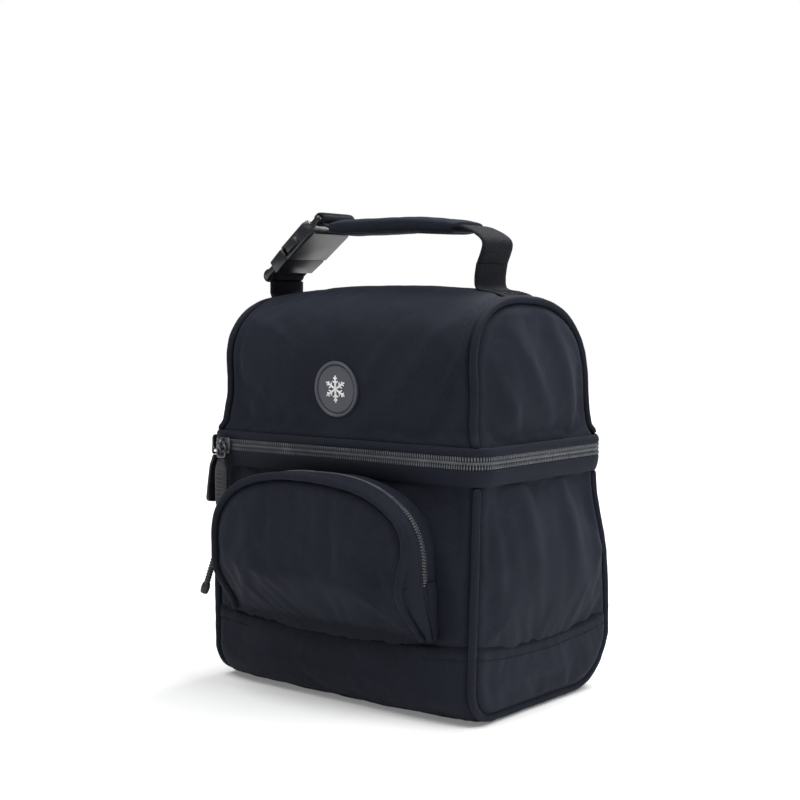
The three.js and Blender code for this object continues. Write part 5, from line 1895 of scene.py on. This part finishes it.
@dataclass
class RubberPull:
    """A moulded rubber pull with cross ribs and a thick end."""

    name: str
    node: str
    place: Matrix
    body: Body
    rubber: bpy.types.Material
    wide: float = 9 * MM
    long: float = 30 * MM
    thick: float = 2.6 * MM
    start: float = 8.7 * MM
    hang: float = 4.8 * MM
    ribs: int = 7
    drop: Matrix = field(default_factory=lambda: Matrix.Identity(4))

    def build(self) -> None:
        """Makes the pull."""
        rows = ((0.0, 0.34, 0.5), (0.012, 0.5, 0.85), (0.05, 0.62, 1.0), (0.14, 0.72, 1.0), (0.2, 0.94, 0.95),
                (0.26, 1.0, 0.9), (0.6, 1.0, 0.9), (0.78, 0.98, 0.95), (0.84, 0.9, 1.15), (0.92, 0.9, 1.35),
                (0.97, 0.82, 1.2), (0.995, 0.6, 0.8), (1.0, 0.4, 0.5))
        rings = []
        for share, wide, thick in rows:
            ring = []
            for k in range(20):
                turn = TURN * k / 20
                cos, sin = math.cos(turn), math.sin(turn)
                x = math.copysign(abs(cos) ** 0.45, cos) * self.wide / 2 * wide
                z = math.copysign(abs(sin) ** 0.55, sin) * self.thick / 2 * thick
                ring.append(Vector((x, -self.start - share * self.long, self.hang + z)))
            rings.append(ring)
        bar = loft("bar", rings)
        modifier(bar, "SUBSURF", levels=1, render_levels=1)
        pieces = [applied(bar)]
        for i in range(self.ribs):
            y = -self.start - self.long * (0.27 + 0.5 * i / (self.ribs - 1))
            path = [Vector((self.wide * s, y, self.hang + self.thick * 0.42)) for s in (-0.34, -0.3, 0, 0.3, 0.34)]
            pieces.append(tube("rib", path, 0.62 * MM, 8, Vector((0, 0, 1))))
        pull = joined(self.name, pieces)
        pull.data.transform(self.place @ self.drop)
        dressed(pull, self.body, Slot.RUBBER, self.rubber, self.node)


@dataclass
class CordPull:
    """A round moulded pull with close ridges and a bulb at its end."""

    name: str
    node: str
    place: Matrix
    body: Body
    rubber: bpy.types.Material
    radius: float = 2.0 * MM
    long: float = 32 * MM
    start: float = 1.7 * MM

    def build(self) -> None:
        """Makes the pull."""
        rings = []
        count = 120
        for i in range(count + 1):
            share = i / count
            ridge = 0.1 * math.sin(share * TURN * 17) if 0.06 < share < 0.76 else 0.0
            bulb = 0.45 * math.sin(math.pi * min(1.0, max(0.0, (share - 0.76) / 0.24))) ** 0.6 if share > 0.76 else 0.0
            end = min(1.0, math.sqrt(max(0.0, min(share, 1 - share)) / 0.03) + 0.2)
            reach = self.radius * (0.92 + ridge + bulb) * end
            rings.append([Vector((reach * math.cos(TURN * k / 14), -self.start - share * self.long,
                                  reach * math.sin(TURN * k / 14))) for k in range(14)])
        pull = loft(self.name, rings)
        pull.data.transform(self.place)
        dressed(pull, self.body, Slot.RUBBER, self.rubber, self.node)


@dataclass
class Sliders:
    """The bag's three sliders and their pulls, each on its chain."""

    form: BagForm
    pocket: FrontPocket
    metal: bpy.types.Material
    rubber: bpy.types.Material
    front_x: float = -89 * MM
    side_y: float = -56 * MM
    pocket_turn: float = 2.68
    ring_rise: float = -0.12
    pull_turn: float = 0.16
    ring_lean: float = 0.95
    lean: float = 0.26
    forward: float = 0.1

    @staticmethod
    def basis(at: Vector, along: Vector, out: Vector) -> Matrix:
        """The frame of a slider from its place, its way along the chain and its way out."""
        across = out.cross(along)
        return Matrix(((along.x, across.x, out.x, at.x), (along.y, across.y, out.y, at.y),
                       (along.z, across.z, out.z, at.z), (0, 0, 0, 1)))

    def build(self) -> None:
        """Makes all three sliders."""
        form = self.form
        rim_x = form.width / 2 + form.tape_stand
        rim_front = -form.front_at_zip - form.tape_stand
        front = self.basis(Vector((self.front_x, rim_front, form.zip_height)), Vector((1, 0, 0)), Vector((0, -1, 0)))
        side = self.basis(Vector((-rim_x, self.side_y, form.zip_height)), Vector((0, -1, 0)), Vector((-1, 0, 0)))
        ZipSlider("front_slider_plated", front, Body.FRONT_SLIDER, Body.FRONT_PULL, self.metal, form.chain_half,
                  True).build()
        RubberPull("front_pull_rubber", "front_pull", front, Body.FRONT_PULL, self.rubber, wide=10.5 * MM).build()
        slider = ZipSlider("side_slider_plated", side, Body.SIDE_SLIDER, Body.SIDE_PULL, self.metal, form.chain_half,
                           True)
        pivot = Matrix.Translation((0, 0, slider.hang))
        raised = pivot @ Matrix.Rotation(self.ring_rise, 4, "X") @ pivot.inverted()
        slider.ring_turn = raised
        slider.build()
        end = raised @ Vector((0, -slider.ring_drop, slider.hang))
        swung = (Matrix.Translation(end) @ Matrix.Rotation(self.pull_turn, 4, "Z")
                 @ Matrix.Translation((0, slider.ring_drop, -slider.hang)))
        RubberPull("side_pull_rubber", "side_pull", side, Body.SIDE_PULL, self.rubber, drop=swung).build()
        self.pocket_slider()

    def pocket_slider(self) -> None:
        """Makes the pocket's slider, ring and round pull."""
        turn, pocket = self.pocket_turn, self.pocket
        tilt = math.atan2(pocket.flare, pocket.depth)
        out = Vector((math.cos(turn) * math.cos(tilt), math.sin(tilt), math.sin(turn) * math.cos(tilt)))
        along = Vector((-math.sin(turn), 0, math.cos(turn)))
        at = pocket.arch(turn, pocket.zip_at, 0)
        axis = out.cross(along)
        slider = ZipSlider("pocket_slider_plated", self.basis(at, along, out), Body.POCKET_SLIDER, Body.POCKET_PULL,
                           self.metal, pocket.coil_half + 0.6 * MM, False)
        way, down = ((side - axis * side.dot(axis)).normalized() for side in
                     (Vector((-math.sin(turned), 0, -math.cos(turned))) for turned in (self.ring_lean, self.lean)))

        def hung(direction: Vector, drop: float) -> Matrix:
            """A frame on the ring's pivot whose -y runs along a direction."""
            face = direction.cross(axis).normalized()
            across = face.cross(direction)
            start = at + out * slider.hang + way * drop
            rise = -direction
            return Matrix(((across.x, rise.x, face.x, start.x), (across.y, rise.y, face.y, start.y),
                           (across.z, rise.z, face.z, start.z), (0, 0, 0, 1)))

        place_ring = hung(way, 0) @ Matrix.Translation((0, 0, -slider.hang))
        slider.ring = lambda ring: self.place_ring(slider, ring, place_ring)
        slider.build()
        ahead = (down + Vector((0, -1, 0)) * self.forward).normalized()
        CordPull("pocket_pull_rubber", "pocket_pull", hung(ahead, slider.ring_drop), Body.POCKET_PULL,
                 self.rubber).build()

    @staticmethod
    def place_ring(slider: ZipSlider, ring: bpy.types.Object, place: Matrix) -> None:
        """Hangs a ring by its own frame."""
        ring.data.transform(place)
        dressed(ring, slider.pull_body, Slot.METAL, slider.metal, "pocket_pull_ring")


# ---- Badge ----


@dataclass
class Badge:
    """A round moulded badge with a stitched groove and a plain frost star."""

    form: BagForm
    rubber: bpy.types.Material
    pale: bpy.types.Material
    thread: bpy.types.Material
    radius: float = 16.5 * MM
    thick: float = 2.2 * MM
    rim: float = 1.7 * MM
    x: float = -2.4 * MM
    z: float = 184 * MM

    def frame(self) -> Matrix:
        """The badge's frame: z out of the lid's front."""
        form = self.form
        low, middle, high = (form.skin(self.x, form.run_at(z, True)) for z in
                             (self.z - self.radius, self.z, self.z + self.radius))
        lean = math.atan2(low.y - high.y, high.z - low.z)
        out = Vector((0, -math.cos(lean), -math.sin(lean)))
        y = middle.y - 0.3 * MM
        right = Vector((1, 0, 0))
        up = out.cross(right)
        return Matrix(((right.x, up.x, out.x, self.x), (right.y, up.y, out.y, y), (right.z, up.z, out.z, self.z),
                       (0, 0, 0, 1)))

    def build(self) -> None:
        """Makes the disc, its stitches and the star."""
        place = self.frame()
        r, t = self.radius, self.thick
        profile = [(0.2 * MM, -0.4 * MM), (r - 0.4 * MM, -0.4 * MM), (r, 0.2 * MM), (r, t - 0.6 * MM),
                   (r - 0.2 * MM, t - 0.15 * MM), (r - 0.6 * MM, t), (r - self.rim + 0.4 * MM, t),
                   (r - self.rim, t - 0.15 * MM), (r - self.rim - 0.2 * MM, t - 0.75 * MM),
                   (r - self.rim - 1.0 * MM, t - 0.8 * MM), (r - self.rim - 1.25 * MM, t - 0.45 * MM),
                   (r - self.rim - 1.7 * MM, t - 0.4 * MM), (0.2 * MM, t - 0.4 * MM)]
        rings = [[Vector((a * math.cos(TURN * k / 72), a * math.sin(TURN * k / 72), h)) for k in range(72)]
                 for a, h in profile]
        disc = loft("badge_disc", rings)
        disc.data.transform(place)
        dressed(disc, Body.LID, Slot.BADGE, self.rubber, "badge")
        ring = [Vector(((r - self.rim - 0.6 * MM) * math.cos(TURN * k / 180),
                        (r - self.rim - 0.6 * MM) * math.sin(TURN * k / 180), t - 0.7 * MM)) for k in range(181)]
        seat = [place @ p for p in ring]
        run = Stitcher(1.5 * MM, 0.5 * MM, 0.24 * MM).run("badge_stitches", seat, [disc])
        dressed(run, Body.LID, Slot.BADGE, self.thread)
        star = self.star()
        star.data.transform(place)
        dressed(star, Body.LID, Slot.BADGE, self.pale)

    def star(self) -> bpy.types.Object:
        """Makes a six-armed frost star in low relief."""
        pieces = []
        top = self.thick - 0.3 * MM
        for arm in range(6):
            turn = arm * math.pi / 3 + math.pi / 6
            way = Vector((math.cos(turn), math.sin(turn), 0))
            pieces.append(tube("arm", [way * (s * MM) + Vector((0, 0, top)) for s in (0, 2, 4, 6, 8)], 0.62 * MM, 8,
                               Vector((0, 0, 1))))
            for side in (-1, 1):
                for start, size in ((3.4, 2.4), (5.7, 1.7)):
                    lean = turn + side * math.pi / 3.2
                    twig = Vector((math.cos(lean), math.sin(lean), 0))
                    pieces.append(tube("twig", [way * (start * MM) + twig * (size * MM * s) + Vector((0, 0, top))
                                                for s in (0, 0.4, 0.75, 1)], 0.48 * MM, 8, Vector((0, 0, 1))))
        return joined("badge_star", pieces)


# ---- Handle and buckle ----


@dataclass
class Handle:
    """Webbing, padded grip and side-release buckle."""

    form: BagForm
    web: bpy.types.Material
    cloth: bpy.types.Material
    plastic: bpy.types.Material
    thread: bpy.types.Material
    wide: float = 30 * MM
    thick: float = 1.6 * MM
    fit: float = 0.3 * MM
    left: float = -48 * MM
    right: float = 51 * MM
    height: float = 281 * MM
    grip_thick: float = 10 * MM
    grip_wide: float = 31 * MM
    y: float = -5 * MM
    rise_x: float = 69 * MM
    flex_top: float = 257 * MM
    root: float = 87 * MM
    tilt: float = 0.663
    buckle: Vector = field(default_factory=lambda: Vector((-77 * MM, -5 * MM, 269 * MM)))
    droop: float = 2.4 * MM
    bar: float = 27.9 * MM
    bar_half: float = 2.4 * MM
    bar_radius: float = 2.1 * MM

    def crest(self, x: float) -> float:
        """Height of the lid's crest at a place across the bag."""
        share = x / (self.form.width / 2 - self.form.crest_narrowing - self.form.edge)
        return self.form.crest + self.form.crest_crown * max(0.0, 1 - share * share)

    def strap(self, name: str, path: Sequence[Vector], wide: float, start: float = 0.0) -> bpy.types.Object:
        """Makes a flat strap along a path in the plane of the handle."""
        even = resampled(path, 1.3 * MM)
        rings, lay, run = [], [], start
        columns = 10
        for i, p in enumerate(even):
            ahead = even[min(i + 1, len(even) - 1)] - even[max(i - 1, 0)]
            up = Vector((-ahead.z, 0, ahead.x)).normalized() * (self.thick / 2)
            run += (p - even[i - 1]).length if i else 0.0
            ring = []
            for k in range(columns + 1):
                across = wide * (k / columns - 0.5)
                edge = 0.72 if k in (0, columns) else 1.0
                bow = 0.25 * MM * noise.noise(Vector((run * 30, across * 40, start * 90)))
                ring.append(p + Vector((0, across, 0)) + up * edge + up.normalized() * bow)
                lay.append(Vector((run, across, 0)))
            for k in reversed(range(columns + 1)):
                across = wide * (k / columns - 0.5)
                edge = 0.72 if k in (0, columns) else 1.0
                bow = 0.25 * MM * noise.noise(Vector((run * 30, across * 40, start * 90)))
                ring.append(p + Vector((0, across, 0)) - up * edge + up.normalized() * bow)
                lay.append(Vector((run, across, 0)))
            rings.append(ring)
        return loft(name, rings, lay=lay)

    def at(self, x: float, z: float) -> Vector:
        """A point in the handle's plane."""
        return Vector((x, self.y, z))

    def in_buckle(self, x: float, z: float) -> Vector:
        """A point given in the buckle's own frame."""
        turned = Matrix.Rotation(-self.tilt, 4, "Y") @ Vector((x, 0, z))
        return turned + self.buckle

    def build(self) -> None:
        """Makes all pieces of the handle."""
        seat = self.fit + self.thick / 2
        foot = self.rise_x + self.thick + 5 * MM
        low = [self.at(x, self.crest(x) + seat + self.fit - drop * MM) for x, drop in
               ((self.root - 0.4 * MM, 2.6), (self.root - 3 * MM, 1.1), ((self.root + foot) / 2 - 1 * MM, 0.3), (foot, 0))]
        tab = self.strap("lid_webbing", spline(low, 6), self.wide)
        dressed(tab, Body.LID, Slot.WEBBING, self.web, "webbing_tab_right")
        bend = [self.at(foot, self.crest(foot) + seat + self.fit),
                self.at(self.rise_x - self.thick, self.crest(self.rise_x) + seat + self.thick),
                self.at(self.rise_x - 3 * MM, (self.crest(self.rise_x) + self.flex_top) / 2),
                self.at(self.rise_x - self.thick, self.flex_top + 0.2 * MM)]
        flex = self.strap("bending_webbing", spline(bend, 8), self.wide, 0.03)
        flex.data.materials.append(self.web)
        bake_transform(flex)
        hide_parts("webbing_flex_right")
        bar = self.in_buckle(self.bar, -self.bar_radius - self.fit - self.thick / 2)
        path = spline([self.at(self.rise_x - self.thick, self.flex_top),
                       self.at(self.rise_x + self.thick * 1.4, (self.flex_top + self.height) / 2 - 1 * MM),
                       self.at(self.rise_x - self.thick * 1.5, self.height - self.grip_thick / 2 - self.droop),
                       self.at(self.right + self.grip_thick / 2, self.height - self.fit - self.droop),
                       self.at(self.right, self.height - self.droop)], 8)
        path += [self.at(0, self.height), self.at(self.left, self.height), bar]
        strap = self.strap("handle_strap", path, self.wide - 0.6 * MM, 0.06)
        loop = self.bar_loop("socket_strap_loop", 1)
        whole = self.merged("handle_strap_woven", [strap, loop])
        dressed(whole, Body.HANDLE, Slot.WEBBING, self.web, "handle_webbing")
        under = self.bar_loop("plug_strap_loop", -1)
        dressed(under, Body.PLUG, Slot.WEBBING, self.web, "plug_webbing_loop")
        plug_seat = self.in_buckle(-self.bar, -self.bar_radius - self.fit - self.thick - 0.6 * MM)
        left = spline([self.at(-self.root - 1 * MM, self.form.crest - 3.2 * MM),
                       self.at(-self.root - 7 * MM, self.form.crest - 1.6 * MM),
                       self.at(-self.root - 9.5 * MM, self.form.crest + 2.4 * MM),
                       self.at(plug_seat.x - 0.4 * MM, plug_seat.z - 5.4 * MM),
                       self.at(plug_seat.x - 0.4 * MM, plug_seat.z)], 6)
        tab_left = self.strap("left_webbing", left, self.wide, 0.2)
        tab_left.data.materials.append(self.web)
        self.form.crest + 1 * MM
        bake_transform(tab_left)
        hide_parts("webbing_tab_left")
        self.grip()
        self.hard_parts()
        self.box_stitches()

    @staticmethod
    def merged(name: str, pieces: Sequence[bpy.types.Object]) -> bpy.types.Object:
        """Joins straps, keeping their woven lay."""
        for piece in pieces:
            piece.select_set(False)
        points, faces, lay = [], [], []
        for piece in pieces:
            base = len(points)
            mesh = piece.data
            points += [v.co.copy() for v in mesh.vertices]
            faces += [tuple(base + i for i in p.vertices) for p in mesh.polygons]
            lay += [Vector(d.vector) for d in mesh.attributes["lay"].data]
            bpy.data.objects.remove(piece)
        return mesh_object(name, points, faces, lay)

    def bar_loop(self, name: str, side: int) -> bpy.types.Object:
        """Makes the turn of webbing round one of the buckle's bars."""
        reach, rise = self.bar_half + self.fit + self.thick / 2, self.bar_radius + self.fit + self.thick / 2
        loop = [self.in_buckle(side * self.bar + x, z) for x, z in rounded(2 * reach, 2 * rise, rise - self.fit, 6)]
        return self.strap(name, [*loop, loop[0].copy()], self.wide - 0.6 * MM, 0.3)

    def grip(self) -> None:
        """Makes the padded sleeve with its seam."""
        rings = []
        columns, count = 64, 28
        for i in range(columns + 1):
            share = i / columns
            x = self.left + (self.right - self.left) * share
            end = min(share, 1 - share)
            full = 0.72 + 0.28 * eased(end / 0.09)
            pinch = 1 - 0.1 * eased((share - 0.72) / 0.2)
            ring = []
            for k in range(count):
                turn = TURN * (k + 0.5) / count
                cos, sin = math.cos(turn), math.sin(turn)
                across = math.copysign(abs(cos) ** 0.62, cos) * self.grip_wide / 2
                rise = math.copysign(abs(sin) ** 0.62, sin) * self.grip_thick / 2 * full * pinch
                fold = noise.noise(Vector((x * 70, turn * 1.3, 4))) * 0.45 * MM
                fold += noise.noise(Vector((x * 190, turn * 0.7, 9))) * 0.25 * MM * (1.6 - full)
                rise += fold * sin - self.droop * eased((x - 8 * MM) / (46 * MM))
                ring.append(Vector((x, self.y + across * (0.9 + 0.1 * full), self.height + rise)))
            rings.append(ring)
        sleeve = loft("grip_cloth", rings)
        modifier(sleeve, "SUBSURF", levels=1, render_levels=1)
        applied(sleeve)
        dressed(sleeve, Body.HANDLE, Slot.SHELL, self.cloth, "grip_sleeve")
        seam_path = [Vector((x * MM, self.y - 11 * MM, self.height - self.grip_thick * 0.6)) for x in range(-45, 49)]
        run = Stitcher(2.2 * MM, 0.9 * MM, 0.28 * MM).run("grip_stitches", seam_path, [sleeve])
        dressed(run, Body.HANDLE, Slot.SHELL, self.thread)

    def hard_parts(self) -> None:
        """Makes the buckle's socket, plug and prongs with softened edges."""
        for node, body in (("buckle_socket", Body.HANDLE), ("buckle_plug", Body.PLUG),
                           ("buckle_prong_back", Body.PRONG_BACK), ("buckle_prong_front", Body.PRONG_FRONT)):
            work = bmesh.new()
            work.from_mesh(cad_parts[node].data)
            bmesh.ops.remove_doubles(work, verts=work.verts, dist=0.01 * MM)
            bmesh.ops.dissolve_limit(work, angle_limit=math.radians(3), verts=work.verts, edges=work.edges)
            mesh = bpy.data.meshes.new(f"{node}_moulded")
            work.to_mesh(mesh)
            work.free()
            piece = bpy.data.objects.new(f"{node}_moulded", mesh)
            bpy.context.scene.collection.objects.link(piece)
            modifier(piece, "BEVEL", width=0.45 * MM, segments=3, limit_method="ANGLE", angle_limit=math.radians(34))
            modifier(piece, "WEIGHTED_NORMAL", keep_sharp=True)
            applied(piece)
            piece.data.shade_smooth()
            dressed(piece, body, Slot.BUCKLE, self.plastic, node)

    def box_stitches(self) -> None:
        """Sews the box with a cross that holds the webbing to the lid."""
        target = bpy.data.objects["lid_webbing"]
        x0, x1, half = 76.5 * MM, 85.5 * MM, 11.5 * MM
        path = [Vector((x0, self.y - half, 0)), Vector((x1, self.y - half, 0)), Vector((x1, self.y + half, 0)),
                Vector((x0, self.y + half, 0)), Vector((x0, self.y - half, 0)), Vector((x1, self.y + half, 0))]
        cross = [Vector((x1, self.y - half, 0)), Vector((x0, self.y + half, 0))]
        for number, run in enumerate((path, cross)):
            lifted = [Vector((p.x, p.y, self.crest(p.x) + 4 * MM)) for p in resampled(run, 1 * MM)]
            sewn = Stitcher(2.0 * MM, 0.7 * MM, 0.3 * MM).run(f"webbing_stitches_{number}", lifted, [target])
            dressed(sewn, Body.LID, Slot.WEBBING, self.thread)


def main() -> None:
    """Builds the bag's sub-assemblies in order."""
    logging.basicConfig(level=logging.INFO, format="%(name)s: %(message)s")
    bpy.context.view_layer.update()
    bpy.context.scene.view_settings.view_transform = "Standard"
    form = BagForm()
    cloth = TwillFinish("shell_twill").make()
    side_cloth = TwillFinish("side_twill", (0.0095, 0.0105, 0.0165), (0.018, 0.0202, 0.0305), ribbed=0.6).make()
    thread = TwillFinish("sewing_thread", (0.0075, 0.0082, 0.0125), (0.014, 0.0155, 0.023), lint=0.05).make()
    coil = MouldedFinish("zip_nylon", (0.085, 0.09, 0.105), (0.18, 0.19, 0.215), 0.26).make()
    # The tape behind the teeth is a real part, but its near-black colour, darker than the cloth, is painted shade in
    # the gaps between the teeth.
    tape = MouldedFinish("zip_tape", (0.002, 0.002, 0.0028), (0.004, 0.004, 0.0052), 0.8).make()
    board = MouldedFinish("board_plastic", (0.008, 0.008, 0.01), (0.015, 0.015, 0.018), 0.6).make()
    foil = FoilFinish("silver_film").make()
    metal = PlatedFinish("dark_plating").make()
    rubber = MouldedFinish("pull_rubber", rough=0.52).make()
    badge = MouldedFinish("badge_rubber", (0.05, 0.052, 0.066), (0.065, 0.068, 0.084), 0.55).make()
    pale = MouldedFinish("pale_rubber", (0.72, 0.72, 0.72), (0.8, 0.8, 0.8), 0.5).make()
    plastic = MouldedFinish("buckle_plastic", (0.011, 0.0115, 0.015), (0.022, 0.023, 0.028), 0.33).make()
    web = WebbingFinish("webbing_weave").make()
    Studio().build()
    room = SewingRoom()
    shell = Shell(form, room, cloth, side_cloth, foil, board, thread)
    shell.cut()
    pocket = FrontPocket(form, room, cloth, side_cloth, coil, tape)
    pocket.cut()
    room.run()
    shell.dress()
    pocket.dress()
    Piping(form, cloth).build()
    MainZip(form, cloth, coil, tape).build()
    Sliders(form, pocket, metal, rubber).build()
    Badge(form, badge, pale, thread).build()
    Handle(form, web, cloth, plastic, thread).build()


if __name__ == "__main__":
    main()
